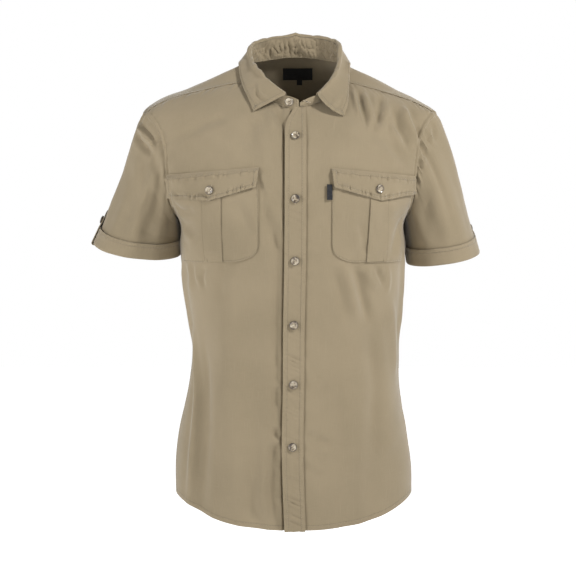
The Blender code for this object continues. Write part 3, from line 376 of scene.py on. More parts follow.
def patch(bottom, top, leftEdge, rightEdge):
    v = np.linspace(0, 1, len(leftEdge))[:, None, None]
    u = np.linspace(0, 1, len(bottom))[None, :, None]
    bottomBow = bottom[None] - (1 - u) * bottom[0] - u * bottom[-1]
    topBow = top[None] - (1 - u) * top[0] - u * top[-1]
    fade = body["bowFade"]
    return (1 - u) * leftEdge[:, None] + u * rightEdge[:, None] + (1 - v) ** fade * bottomBow + v ** fade * topBow


def bent(t, start, leave, arrive, end):
    return (1 - t) ** 3 * start + 3 * t * (1 - t) ** 2 * leave + 3 * t * t * (1 - t) * arrive + t ** 3 * end


# Mesh helpers

def gridNormals(points, guide, wrap=False):
    if wrap:
        ring = points[:, :-1]
        across = np.roll(ring, -1, axis=1) - np.roll(ring, 1, axis=1)
        across = np.concatenate([across, across[:, :1]], axis=1)
    else:
        across = np.gradient(points, axis=1)
    normal = unit(np.cross(across, np.gradient(points, axis=0)))
    return normal * np.sign(np.sum(normal * guide))


def raised(points, out, height):
    points = points + out * height[..., None]
    return points, gridNormals(points, out)


def reach(points, side):
    # distance along the cloth from one side of the grid
    axis = 0 if side in ("bottom", "top") else 1
    step = np.linalg.norm(np.diff(points, axis=axis), axis=-1)
    zero = np.zeros_like(points[:1, :, 0] if axis == 0 else points[:, :1, 0])
    run = np.concatenate([zero, np.cumsum(step, axis=axis)], axis=axis)
    if side in ("top", "right"):
        last = run[-1:] if axis == 0 else run[:, -1:]
        run = last - run
    return run


def fromEitherEnd(points):
    return np.minimum(reach(points, "left"), reach(points, "right"))


def stitching(points, rows):
    # distance to the nearest sewn edge, with its stitches brought to the same place, and the run along it
    edge, run = np.full(points.shape[:2], cloth["farFromSeam"]), np.zeros(points.shape[:2])
    for side, stitchesAt in rows:
        away = reach(points, side) + cloth["stitchesAt"] - stitchesAt
        along = reach(points, "left" if side in ("bottom", "top") else "bottom")
        run = np.where(away < edge, along, run)
        edge = np.minimum(edge, away)
    return edge, run


# One shell of cloth on a grid of points; under and over are its two faces' heights along out
def clothPiece(name, points, out, under, over, wrap=False, sewn=(), finish="cloth", seam=None):
    rows, columns = points.shape[:2]
    mesh = bmesh.new()
    layers = {key: mesh.verts.layers.float.new(key) for key in ("edge", "run", "under", "over")}
    direction = mesh.verts.layers.float_vector.new("out")
    weave = mesh.loops.layers.uv.new("weave")
    bmesh.ops.create_grid(mesh, x_segments=columns - 1, y_segments=rows - 1, size=1)
    mesh.verts.ensure_lookup_table()
    edge, run = seam if seam is not None else stitching(points, sewn)
    filled = {"edge": edge, "run": run, "under": under, "over": over}
    for vertex, place, way in zip(mesh.verts, (points * mm).reshape(-1, 3).tolist(), out.reshape(-1, 3).tolist()):
        vertex.co, vertex[direction] = place, way
    for key, values in filled.items():
        for vertex, value in zip(mesh.verts, np.broadcast_to(values, (rows, columns)).ravel().tolist()):
            vertex[layers[key]] = value
    wide, tall = reach(points, "left")[rows // 2] * mm, reach(points, "bottom")[:, columns // 2] * mm
    for face in mesh.faces:
        for loop in face.loops:
            place = loop.vert.index
            loop[weave].uv = (wide[place % columns], tall[place // columns])
    if wrap:
        pairs = {mesh.verts[row * columns + columns - 1]: mesh.verts[row * columns] for row in range(rows)}
        bmesh.ops.weld_verts(mesh, targetmap=pairs)
    lower = mesh.verts[:]
    grown = bmesh.ops.extrude_face_region(mesh, geom=mesh.faces[:], use_keep_orig=True)
    upper = [item for item in grown["geom"] if isinstance(item, bmesh.types.BMVert)]
    for group, key in ((lower, "under"), (upper, "over")):
        for vertex in group:
            vertex.co += vertex[direction].normalized() * vertex[layers[key]] * mm
    return finished(name, mesh, finish)


def linked(name, mesh):
    data = bpy.data.meshes.new(name)
    mesh.to_mesh(data)
    mesh.free()
    made = bpy.data.objects.new(name, data)
    bpy.context.scene.collection.objects.link(made)
    return made


def finished(name, mesh, finish):
    bmesh.ops.recalc_face_normals(mesh, faces=mesh.faces[:])
    if mesh.calc_volume(signed=True) < 0:
        bmesh.ops.reverse_faces(mesh, faces=mesh.faces[:])
    piece = pieces[name] = linked(name, mesh)
    piece.data.shade_smooth()
    piece.data.set_sharp_from_angle(angle=math.radians(50))
    piece.data.materials.append(materials[finish])
    return piece


def joined(name, parts):
    # puts several finished meshes into one piece
    mesh = bmesh.new()
    slots = []
    for part in parts:
        used = part.data.materials[0]
        if used not in slots:
            slots.append(used)
        first = len(mesh.faces)
        mesh.from_mesh(part.data)
        mesh.faces.ensure_lookup_table()
        for face in mesh.faces[first:]:
            face.material_index = slots.index(used)
        pieces.pop(part.name, None)
        bpy.data.objects.remove(part)
    piece = pieces[name] = linked(name, mesh)
    for used in slots:
        piece.data.materials.append(used)
    return piece


def placed(mesh, seat, out, spin=0.0):
    # moves a small mesh made at the origin to its seat, facing out
    z = unit(np.array(out, float))
    x = unit(np.cross([0, 0, 1.0], z))
    y = np.cross(z, x)
    x, y = x * math.cos(spin) + y * math.sin(spin), y * math.cos(spin) - x * math.sin(spin)
    for vertex in mesh.verts:
        a, b, c = vertex.co
        vertex.co = Vector((np.array(seat) + x * a + y * b + z * c) * mm)


def rod(mesh, segments, radius, depth, upper=None):
    made = bmesh.ops.create_cone(mesh, cap_ends=True, segments=segments, radius1=radius,
                                 radius2=radius if upper is None else upper, depth=depth)
    return made["verts"]


# Materials

class Socket:
    def __init__(self, tree, socket=None):
        self.tree, self.socket = tree, socket

    def add(self, kind, settings=None, inputs=None, output=0, stops=None):
        node = self.tree.nodes.new(kind)
        for name, value in (settings or {}).items():
            setattr(node, name, value)
        if stops:
            ramp = node.color_ramp.elements
            while len(ramp) < len(stops):
                ramp.new(0.5)
            for element, (place, colour) in zip(ramp, stops):
                element.position, element.color = place, (*colour, 1)
        for name, value in (inputs or {}).items():
            if isinstance(value, Socket):
                self.tree.links.new(value.socket, node.inputs[name])
            else:
                node.inputs[name].default_value = value
        return Socket(self.tree, node.outputs[output])

    def maths(self, operation, first, second=0.0):
        return self.add("ShaderNodeMath", {"operation": operation}, {0: first, 1: second})

    def __add__(self, other):
        return self.maths("ADD", self, other)

    def __sub__(self, other):
        return self.maths("SUBTRACT", self, other)

    def __rsub__(self, other):
        return self.maths("SUBTRACT", other, self)

    def __mul__(self, other):
        return self.maths("MULTIPLY", self, other)

    def __truediv__(self, other):
        return self.maths("DIVIDE", self, other)

    def __abs__(self):
        return self.maths("ABSOLUTE", self)

    def smooth(self, low, high, fromValue=0.0, toValue=1.0):
        return self.add("ShaderNodeMapRange", {"interpolation_type": "SMOOTHSTEP"},
                        {"Value": self, "From Min": low, "From Max": high, "To Min": fromValue, "To Max": toValue})

    def near(self, middle, full, none):
        # 1 within the first distance of a middle value, 0 past the second
        return abs(self - middle).smooth(full, none, 1.0, 0.0)

    def place(self):
        return self.add("ShaderNodeTexCoord", output=3)

    def attribute(self, name):
        return self.add("ShaderNodeAttribute", {"attribute_name": name}, output=2)

    def noise(self, vector, scale, detail=2.0, roughness=0.5):
        return self.add("ShaderNodeTexNoise", None,
                        {"Vector": vector, "Scale": scale, "Detail": detail, "Roughness": roughness})

    def stretched(self, vector, scale, detail=2.0):
        return self.noise(self.add("ShaderNodeMapping", None, {"Vector": vector, "Scale": scale}), 1.0, detail)

    def mixed(self, factor, first, second):
        first, second = [value if isinstance(value, Socket) else (*value, 1) for value in (first, second)]
        return self.add("ShaderNodeMix", {"data_type": "RGBA"}, {"Factor": factor, 6: first, 7: second}, output=2)

    def to(self, shader, name):
        self.tree.links.new(self.socket, shader.inputs[name])

    def bumped(self, shader):
        self.add("ShaderNodeBump", None, {"Height": self, "Distance": 1.0, "Strength": 1.0}).to(shader, "Normal")


def newMaterial(name, roughness, **constants):
    made = bpy.data.materials.new(name)
    made.use_nodes = True
    tree = made.node_tree
    shader = tree.nodes["Principled BSDF"]
    shader.inputs["Roughness"].default_value = roughness
    for key, value in constants.items():
        shader.inputs[key.replace("_", " ")].default_value = value
    return made, Socket(tree), shader


# Cloth: colours, where fold and hole are painted shade beside and between the stitches, then the stitches' place
# and length in mm, weave scales and relief in metres
cloth = {"colour": (0.262, 0.210, 0.134), "pale": (0.290, 0.234, 0.153), "deep": (0.232, 0.186, 0.117),
         "thread": (0.315, 0.258, 0.172), "fold": (0.12, 0.095, 0.06), "hole": (0.10, 0.078, 0.05),
         "roughness": 0.88, "stitchesAt": 6, "stitch": 2.6, "farFromSeam": 60.0, "yarn": 1400, "yarnLength": 60,
         "slub": (420, 22, 1), "weaveRelief": 0.00003, "puckerRelief": 0.0011, "fineRelief": 0.00025,
         "stitchRelief": 0.00025, "stitchSink": 0.0002, "hemRelief": 0.00045}


def clothMaterial():
    made, start, shader = newMaterial("khaki_cotton", cloth["roughness"], Sheen_Weight=0.28, Sheen_Roughness=0.45,
                                      Specular_IOR_Level=0.25)
    place = start.place()
    uv = start.add("ShaderNodeUVMap", {"uv_map": "weave"})
    edge, run = start.attribute("edge"), start.attribute("run")
    warp = start.stretched(uv, (cloth["yarn"], cloth["yarnLength"], 1))
    weft = start.stretched(uv, (cloth["yarnLength"], cloth["yarn"], 1))
    slub = start.stretched(uv, cloth["slub"], 1.0)
    colour = start.mixed(start.noise(place, 9.0, 3.0).smooth(0.3, 0.7), cloth["deep"], cloth["colour"])
    colour = start.mixed((warp * 0.5 + weft * 0.5).smooth(0.35, 0.65) * 0.28, colour, cloth["pale"])
    colour = start.mixed(slub.smooth(0.6, 0.8) * 0.35, colour, cloth["pale"])
    # the stitches with painted shade in the gaps between them, the worn edge outside them, and a painted shade line
    # just inside the stitches for the double cloth's step
    dash = start.maths("FRACT", run / cloth["stitch"]).smooth(0.62, 0.72, 1.0, 0.0)
    row = edge.near(cloth["stitchesAt"], 0.25, 0.5)
    colour = start.mixed(edge.smooth(0.0, 1.4, 1.0, 0.0) * 0.4, colour, cloth["pale"])
    # painted shade: a dark line of the fold colour just inside each stitch row, for the shadow at the double
    # cloth's step
    colour = start.mixed(edge.near(cloth["stitchesAt"] + 0.9, 0.0, 1.3) * 0.25, colour, cloth["fold"])
    colour = start.mixed(row * dash * 0.75, colour, cloth["thread"])
    # painted shade: the hole colour darkens the sunk gaps between the stitch dashes
    colour = start.mixed(row * (1 - dash) * 0.5, colour, cloth["hole"])
    colour.to(shader, "Base Color")
    pucker = start.noise(start.add("ShaderNodeCombineXYZ", None, {"X": run * 0.22, "Y": edge * 0.09}), 1.0)
    fine = start.noise(place, 55.0, 3.0)
    height = (warp + weft + slub) * cloth["weaveRelief"] + fine * cloth["fineRelief"] \
        + pucker * edge.near(cloth["stitchesAt"] - 1, 1.0, 11.0) * cloth["puckerRelief"] \
        + row * (dash * cloth["stitchRelief"] - cloth["stitchSink"]) \
        + edge.smooth(6.0, 7.4, 1.0, 0.0) * cloth["hemRelief"]
    height.bumped(shader)
    return made


def buttonMaterial():
    made, start, shader = newMaterial("marbled_horn", 0.28, Coat_Weight=0.35, Coat_Roughness=0.12)
    place = start.place()
    bend = start.noise(place, 130.0)
    shift = start.add("ShaderNodeCombineXYZ", None, {"X": bend * 0.01, "Z": bend * 0.012})
    shifted = start.add("ShaderNodeVectorMath", {"operation": "ADD"}, {0: place, 1: shift})
    bands = start.noise(shifted, 170.0, 3.0, 0.6)
    colour = start.add("ShaderNodeValToRGB", None, {"Fac": bands}, stops=(
        (0.3, (0.04, 0.03, 0.023)), (0.42, (0.10, 0.075, 0.055)), (0.49, (0.25, 0.20, 0.14)),
        (0.57, (0.43, 0.37, 0.27)), (0.75, (0.60, 0.54, 0.43))))
    # darker towards the rim
    darker = start.attribute("rim").smooth(0.74, 0.94) * 0.85
    start.mixed(darker, colour, (0.045, 0.034, 0.026)).to(shader, "Base Color")
    return made


def wovenMaterial(name, dark, light):
    made, start, shader = newMaterial(name, 0.7, Specular_IOR_Level=0.2)
    ribs = start.stretched(start.place(), (300, 300, 2600))
    start.mixed(ribs.smooth(0.35, 0.65), dark, light).to(shader, "Base Color")
    (ribs * 0.0001).bumped(shader)
    return made


def threadMaterial():
    made, start, shader = newMaterial("sewing_thread", 0.6)
    twist = start.noise(start.place(), 2400.0, 1.0)
    start.mixed(twist.smooth(0.3, 0.7), (0.30, 0.24, 0.16), (0.42, 0.35, 0.25)).to(shader, "Base Color")
    return made


materials = {"cloth": clothMaterial(), "button": buttonMaterial(), "thread": threadMaterial(),
             "label": wovenMaterial("label_weave", (0.012, 0.012, 0.012), (0.024, 0.022, 0.02)),
             "tag": wovenMaterial("tag_weave", (0.012, 0.012, 0.013), (0.026, 0.027, 0.03))}
print("materials made")


# Edges that panels share

grid = {"hemRows": 150, "armRows": 60, "neckColumns": 34, "seamColumns": 74, "capColumns": 26, "backColumns": 150,
        "sleeveRows": 50, "cuffRows": 12}


def hemHeight(theta):
    middle = np.where(np.cos(theta) > 0, body["hemFront"], body["hemBack"])
    side = body["hemFront"] + body["hemRise"]
    return middle + (side - middle) * np.sin(theta) ** 2 * np.abs(np.sin(theta)) ** 0.4


def armhole(side, turn):
    z = body["armholeMiddle"] + body["armholeHalfHeight"] * np.cos(turn)
    y = body["armholeHalfDepth"] * np.sin(turn)
    half, depth = halves(np.full(np.shape(y), float(side)), y, z)
    n = section(z, "square")
    return np.stack([side * half * (1 - np.abs(y / depth) ** n) ** (1 / n), y, z], -1)


def intoArmhole(side, turn):
    along = armhole(side, turn + 0.01) - armhole(side, turn - 0.01)
    return side * unit(np.cross(along, normalAt(armhole(side, turn))))


armTurnFront = -math.asin(body["yokeArmDepth"] / body["armholeHalfDepth"])
armTurnBack = math.asin(body["yokeBackDepth"] / body["armholeHalfDepth"])
yokeNeckTurn = math.acos(body["yokeNeckDepth"] / body["neckFront"])


def armholeTurns(face):
    end = armTurnFront if face == front else armTurnBack
    return np.linspace(-face * math.pi, end, grid["armRows"] + 1)


def necklinePlan(turn):
    depth = np.where(np.cos(turn) > 0, body["neckFront"], body["neckBack"])
    return np.stack([body["neckHalf"] * np.sin(turn), -depth * np.cos(turn)], -1)


def frontSeamPlan(side):
    start, end = necklinePlan(side * yokeNeckTurn), armhole(side, np.array(armTurnFront))[:2]
    t = np.linspace(0, 1, grid["seamColumns"] + 1)[:, None]
    line = start + (end - start) * t
    line[:, 1] -= body["yokeBow"] * np.sin(math.pi * t[:, 0])
    return line


def turnsAndHeights(p):
    return np.stack([turnOf(p), p[..., 2]], -1)


def sideEdge(side, face):
    z = np.linspace(hemHeight(math.pi / 2), body["armholeMiddle"] - body["armholeHalfHeight"], grid["hemRows"] + 1)
    seam = np.stack([np.full(len(z), side * math.pi / 2), z], -1)
    return np.concatenate([seam, turnsAndHeights(armhole(side, armholeTurns(face)[1:]))])


def frontRows(neckZ):
    outer = sideEdge(left, front)[:, 1]
    return body["hemFront"] + (neckZ - body["hemFront"]) * (outer - outer[0]) / (outer[-1] - outer[0])


# Fronts: where they meet, how far their columns lie from there, and the forms along their seams
# A seam's rise, its dip and the groove at the placket have a middle and a width as distances from the edge
fronts = {"meet": 13, "nearNeck": -80, "yokeLap": 4, "yokeSink": 1.2, "sideLap": 5, "armholeLap": 0.3,
          "groove": {right: 2.8, left: 0.7}, "grooveAt": (1.1, 1.4), "grooveFrom": 98, "puckersTo": -400,
          "seamRise": 1.5, "seamRiseAt": (4.5, 3.6), "seamDip": 0.5, "seamDipAt": (9.5, 1.6), "armholeFrom": -258,
          "straight": 1.6, "straightFrom": 95, "straightOver": 40, "hemStitch": ("bottom", 7.0),
          "columns": {right: (0, 5, 10, 15, 19, 22, 24.5, 26.5, 28, 29.2, 30, 30.7, 31.4, 32.1, 32.8, 33.6, 34.6,
                              36, 38, 41, 44.5, 48.5, 53, 58),
                      left: (0, 1.5, 2.6, 3.3, 4, 4.7, 5.4, 6.3, 7.6, 9.5, 12, 15, 18.5, 22, 25.5, 29, 32.5, 36,
                             39.5, 43, 46.5, 50, 53.5, 57)}}
placket = {"half": 16.75, "under": 0.5, "cloth": 1.5, "columns": 35, "rows": 340,
           "topLeft": ((-60, 8), (-72, 3), (-84, -4), (-98, -12), (-112, -16.2), (-125, -17.4), (-150, -17.4)),
           "stand": 1.9, "hemStand": 1.6, "hemFrom": 640, "pucker": 2.4, "edgeWave": 0.25}


def frontGrid(side):
    # the first columns lie at fixed distances from where the fronts meet, close together at the placket's edge
    outer = sideEdge(side, front)
    first = np.array(fronts["columns"][side], float)
    spare = grid["neckColumns"] + 2 - len(first)

    def line(turns, lastTurn, count):
        return np.concatenate([turns[:-1], np.linspace(turns[-1], lastTurn, count)])

    fromMiddle = fronts["meet"] + side * first
    nearNeck = np.arcsin((fromMiddle + fastening(np.array(float(fronts["nearNeck"])))) / body["neckHalf"])
    neck = necklinePlan(line(nearNeck, side * yokeNeckTurn, spare))
    plan = np.concatenate([neck[:-1], frontSeamPlan(side)])
    top = turnsAndHeights(onShoulders(plan[:, 0], plan[:, 1]))
    top[-1] = outer[-1]
    z = frontRows(top[0, 1])
    middle = np.stack([turnAt(fastening(z) + fronts["meet"], z), z], -1)
    middle[-1] = top[0]
    low = np.full(len(first), float(body["hemFront"]))
    turns = line(turnAt(fastening(low) + fromMiddle, low), side * math.pi / 2, grid["seamColumns"] + spare)
    hem = np.stack([turns, hemHeight(turns)], -1)
    middle[0] = hem[0]
    spread = patch(hem, top, middle, outer)
    turn, z = spread[..., 0], spread[..., 1]
    # straight columns beside the placket
    column = np.arange(spread.shape[1])
    keep = np.clip(fronts["straight"] - column / (len(first) - 1), 0, 1)
    offset = np.interp(column, np.arange(len(first)), first) * side
    straight = turnAt(fastening(z) + fronts["meet"] + offset, z)
    fade = keep * ramped(-z, fronts["straightFrom"], fronts["straightOver"])
    return torso(turn + (straight - turn) * fade, z)


def lapped(points, out, side, distance, sink):
    # adds a strip past one side that goes under the next panel
    axes = (1, 0, 2) if side in ("left", "right") else (0, 1, 2)
    order = slice(None, None, -1 if side in ("top", "right") else 1)
    points, out = [item.transpose(axes)[order] for item in (points, out)]
    distance, sink = [np.broadcast_to(value, len(points[0]))[:, None] for value in (distance, sink)]
    strip = points[0] + unit(points[0] - points[1]) * distance - out[0] * sink
    lowered = points.copy()
    for row, share in ((0, 0.95), (1, 0.35)):
        lowered[row] -= out[row] * sink * share
    grown = np.concatenate([strip[None], lowered]), np.concatenate([out[:1], out])
    return [item[order].transpose(axes) for item in grown]


def makeFront(side, word):
    bare = frontGrid(side)
    points, out = clothAt(bare)
    out = gridNormals(points, out)
    away, run, inset, fromTop = [reach(bare, edge) for edge in ("left", "bottom", "right", "top")]
    z = points[..., 2]
    # the cloth gathers a little along the placket, the armhole and the yoke seam
    middle, width = fronts["seamRiseAt"]
    turned = np.exp(-((inset - middle) / width) ** 4) * (1 + 0.5 * wobble(run / 4, 8 + side))
    along = fronts["seamRise"] * turned - fronts["seamDip"] * bell(inset, *fronts["seamDipAt"]) \
        + puckered("armhole", run, inset, side)
    beside = side * (points[..., 0] - fastening(z)) - placket["half"]
    gather = puckered("placketSeam", run, away, side) + ramped(z, fronts["armholeFrom"], 8) * along \
        + puckered("yokeSeam", away, fromTop, side) \
        - fronts["groove"][side] * bell(beside, *fronts["grooveAt"]) * ramped(-z, fronts["grooveFrom"], 30)
    if side == right:
        gather = gather + puckered("besidePlacket", run, beside) * np.clip((fronts["puckersTo"] - z) / 90, 0.15, 1)
    points = points + out * gather[..., None]
    seam = stitching(points, (fronts["hemStitch"], ("right", 1.6)))
    underYoke = np.arange(points.shape[1]) >= grid["neckColumns"]
    points, out = lapped(points, out, "top", np.where(underYoke, fronts["yokeLap"], fronts["armholeLap"]),
                         np.where(underYoke, fronts["yokeSink"], 0.0))
    seam = tuple(np.concatenate([layer, layer[-1:]]) for layer in seam)
    piece = clothPiece("front_%s_cloth" % word, points, out, -body["cloth"], 0, seam=seam)
    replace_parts(piece, "front_" + word)


def yokeOuterPlan():
    turns = np.linspace(armTurnFront, armTurnBack, grid["capColumns"] + 1)
    rightCap, leftCap = armhole(right, turns), armhole(left, turns)[::-1]
    ends = turnsAndHeights(np.stack([rightCap[-1], leftCap[0]]))
    share = np.linspace(0, 1, grid["backColumns"] + 1)
    theta = ends[0, 0] - (2 * math.pi - ends[1, 0] + ends[0, 0]) * share
    z = ends[0, 1] + (ends[1, 1] - ends[0, 1]) * share
    z += (body["yokeBackHeight"] - z) * np.sin(math.pi * share) ** 0.7
    middle = torso(theta, z)
    middle[0], middle[-1] = rightCap[-1], leftCap[0]
    return np.concatenate([rightCap[:-1], middle, leftCap[1:]])


def makeBack():
    rightEdge, leftEdge = sideEdge(right, back), sideEdge(left, back)
    leftEdge[:, 0] -= 2 * math.pi
    first = grid["capColumns"]
    top = turnsAndHeights(yokeOuterPlan()[first:first + grid["backColumns"] + 1])
    top[:, 0] = np.where(top[:, 0] > 0, top[:, 0] - 2 * math.pi, top[:, 0])
    top[0], top[-1] = rightEdge[-1], leftEdge[-1]
    turns = np.linspace(rightEdge[0, 0], leftEdge[0, 0], grid["backColumns"] + 1)
    hem = np.stack([turns, hemHeight(turns)], -1)
    spread = patch(hem, top, rightEdge, leftEdge)
    points, out = clothAt(torso(spread[..., 0], spread[..., 1]))
    out = gridNormals(points, out)
    # painted shade: the side edges start at 6.5, within the cloth's painted shade line, so the back darkens at its
    # side seams
    edge, run = stitching(points, (fronts["hemStitch"], ("left", -0.5), ("right", -0.5)))
    points, out = lapped(points, out, "top", fronts["yokeLap"], fronts["yokeSink"])
    under = np.arange(points.shape[0]) < grid["hemRows"]
    for side in ("left", "right"):
        points, out = lapped(points, out, side, np.where(under, fronts["sideLap"], fronts["armholeLap"]),
                             np.where(under, fronts["yokeSink"], 0))
    seam = [np.pad(layer, ((0, 1), (1, 1)), "edge") for layer in (edge, run)]
    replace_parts(clothPiece("back_cloth", points, out, -body["cloth"], 0, seam=seam), "back")


def makeYoke():
    outer = yokeOuterPlan()
    split = math.radians(112)
    cap = np.linspace(yokeNeckTurn, split, grid["capColumns"] + 1)
    rear = np.linspace(split, 2 * math.pi - split, grid["backColumns"] + 1)
    inner = necklinePlan(-np.concatenate([cap[:-1], rear, (2 * math.pi - cap[::-1])[1:]]))
    v = np.linspace(0, 1, grid["seamColumns"] + 1)[:, None, None]
    plan = inner[None] + (outer[None, :, :2] - inner[None]) * v
    u = np.linspace(0, 1, len(outer))[None, :, None]
    for side, column, weight in ((right, 0, (1 - u) ** 12), (left, -1, u ** 12)):
        plan = plan + (frontSeamPlan(side)[:, None] - plan[:, column][:, None]) * weight
    points = onShoulders(plan[..., 0], plan[..., 1])
    points[-1] = outer
    points, out = clothAt(points)
    sewn = tuple((edge, 2.2) for edge in ("left", "right", "top"))
    piece = clothPiece("yoke_cloth", points, gridNormals(points, out), -body["cloth"], 0, sewn=sewn)
    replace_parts(piece, "yoke")


for side, word in sides:
    makeFront(side, word)
makeBack()
makeYoke()
print("fronts, back and yoke made")


# Sleeves: cuff rings are middle x, y, z, half x, half y, tilt along x, tilt along y
# Folds are turn in degrees, spread, depth and where they start; creases are three places as
# turn and share of the length, then width and depth
sleeves = {
    right: {"top": (-254.5, 12, -285, 64, 60, -0.12, 0.25), "bottom": (-260.5, 12, -309, 70, 56, -0.12, 0.25),
            "folds": ((-58, 20, -3.5, 0.2), (-98, 24, -7, 0.1), (-24, 16, -1, 0.35), (-140, 26, -4, 0.1),
                      (0, 34, 4, 0.5), (70, 20, -4, 0.2), (125, 22, 4, 0.2)),
            "creases": ((-4, 0.05, -34, 0.075, -64, 0.06, 3.2, -3.6), (-8, 0.10, -36, 0.13, -62, 0.11, 3.2, 3.2),
                        (-12, 0.15, -38, 0.19, -60, 0.17, 3.4, -3.8), (-60, 0.22, -78, 0.17, -96, 0.12, 9, -4.0),
                        (-30, 0.30, -52, 0.44, -60, 0.62, 9, 2.6), (-76, 0.30, -82, 0.5, -74, 0.75, 8, -2.4)),
            "ripples": ((0.5, 45, 19), (0.2, 18, 2)), "tab": 10},
    left: {"top": (240, 12, -299, 55, 68, 0.15, 0.12), "bottom": (244, 12, -324, 58.5, 64, 0.15, 0.12),
           "folds": ((-52, 22, 3, 0.1), (-98, 26, -4.5, 0.15), (-16, 24, -0.8, 0.3), (64, 20, -4, 0.2),
                     (120, 22, 4, 0.2)),
           "creases": ((-30, 0.0, -34, 0.07, -40, 0.13, 2.4, -3.4), (-38, 0.0, -44, 0.08, -46, 0.14, 2.4, 3.0),
                       (-47, 0.0, -52, 0.06, -50, 0.13, 2.2, -3.6), (-55, 0.0, -61, 0.07, -58, 0.14, 2.6, 2.8),
                       (-63, 0.0, -70, 0.06, -66, 0.12, 2.2, -3.4), (-71, 0.0, -79, 0.07, -74, 0.14, 2.6, 2.6),
                       (-80, 0.0, -87, 0.06, -84, 0.11, 2.2, -2.8), (-92, 0.0, -98, 0.08, -96, 0.16, 3, 2)),
           "ripples": ((0.5, 45, 21), (0.2, 18, 2)), "tab": 26.9},
    "more": ((-80, 0.03, -84, 0.3, -92, 0.8, 12, 1.5), (-120, 0.02, -116, 0.3, -112, 0.7, 12, -2.0),
             (-140, 0.05, -132, 0.4, -126, 0.9, 9, 1.8), (20, 0.1, 28, 0.4, 30, 0.9, 14, 0.9),
             (48, 0.05, 46, 0.4, 50, 0.85, 12, -1.2), (92, 0.03, 88, 0.4, 84, 0.9, 10, 2.0),
             (108, 0.02, 112, 0.3, 106, 0.7, 8, -2.0), (148, 0.05, 140, 0.5, 146, 0.95, 10, 1.6)),
    "startPull": 0.34, "endPull": 0.3, "sag": -4.0, "turnDown": 0.6, "squeeze": 16, "squeezeTurn": 138,
    "squeezeWidth": 30, "squeezeOver": (0.05, 1.25), "gatherLength": 5, "seamDipAt": (0.02, 0.025),
    "liftGrowth": 12,
    "round": 62, "length": 120, "cuff": 1.5, "cuffFlare": 1.6, "smoothing": 10,
    "gather": 2.4, "seamDip": 1.6, "gatherShare": 0.8, "rootSink": 1.15, "nextSink": 0.6, "inside": 4,
    "turnUnder": ((1.4, 0.5), (1.6, 2.0), (0, 3.4), (-8, 3.6)),
}


def ringAt(side, name, turns):
    middleX, middleY, middleZ, halfX, halfY, tiltX, tiltY = sleeves[side][name]
    x, y = side * halfX * np.cos(turns), halfY * np.sin(turns)
    return np.stack([middleX + x, middleY + y, middleZ + tiltX * x + tiltY * y], -1)


def sleeveLift(side, turns, t):
    around, down = np.meshgrid(turns * sleeves["round"], t * sleeves["length"])
    total = creasesOver(around, down, sleeves[side]["creases"] + sleeves["more"],
                        (math.radians(1) * sleeves["round"], sleeves["length"]))
    down = np.minimum(t, 1)[:, None]
    for turn, spread, depth, start in sleeves[side]["folds"]:
        away = np.abs((turns - math.radians(turn) + math.pi) % (2 * math.pi) - math.pi)
        total += depth * hump(away, math.radians(spread))[None] * ramped(down, start, 0.25) \
            * np.clip((1 - down) / 0.25 + 0.35, 0, 1)
    return total


def runningMean(line, count):
    # round a closed line
    closed = np.concatenate([line[-1 - count:-1], line, line[1:count + 1]])
    return sum(closed[k:k + len(line)] for k in range(2 * count + 1)) / (2 * count + 1)


def closedRing(*grids):
    for item in grids:
        item[:, -1] = item[:, 0]
    return grids


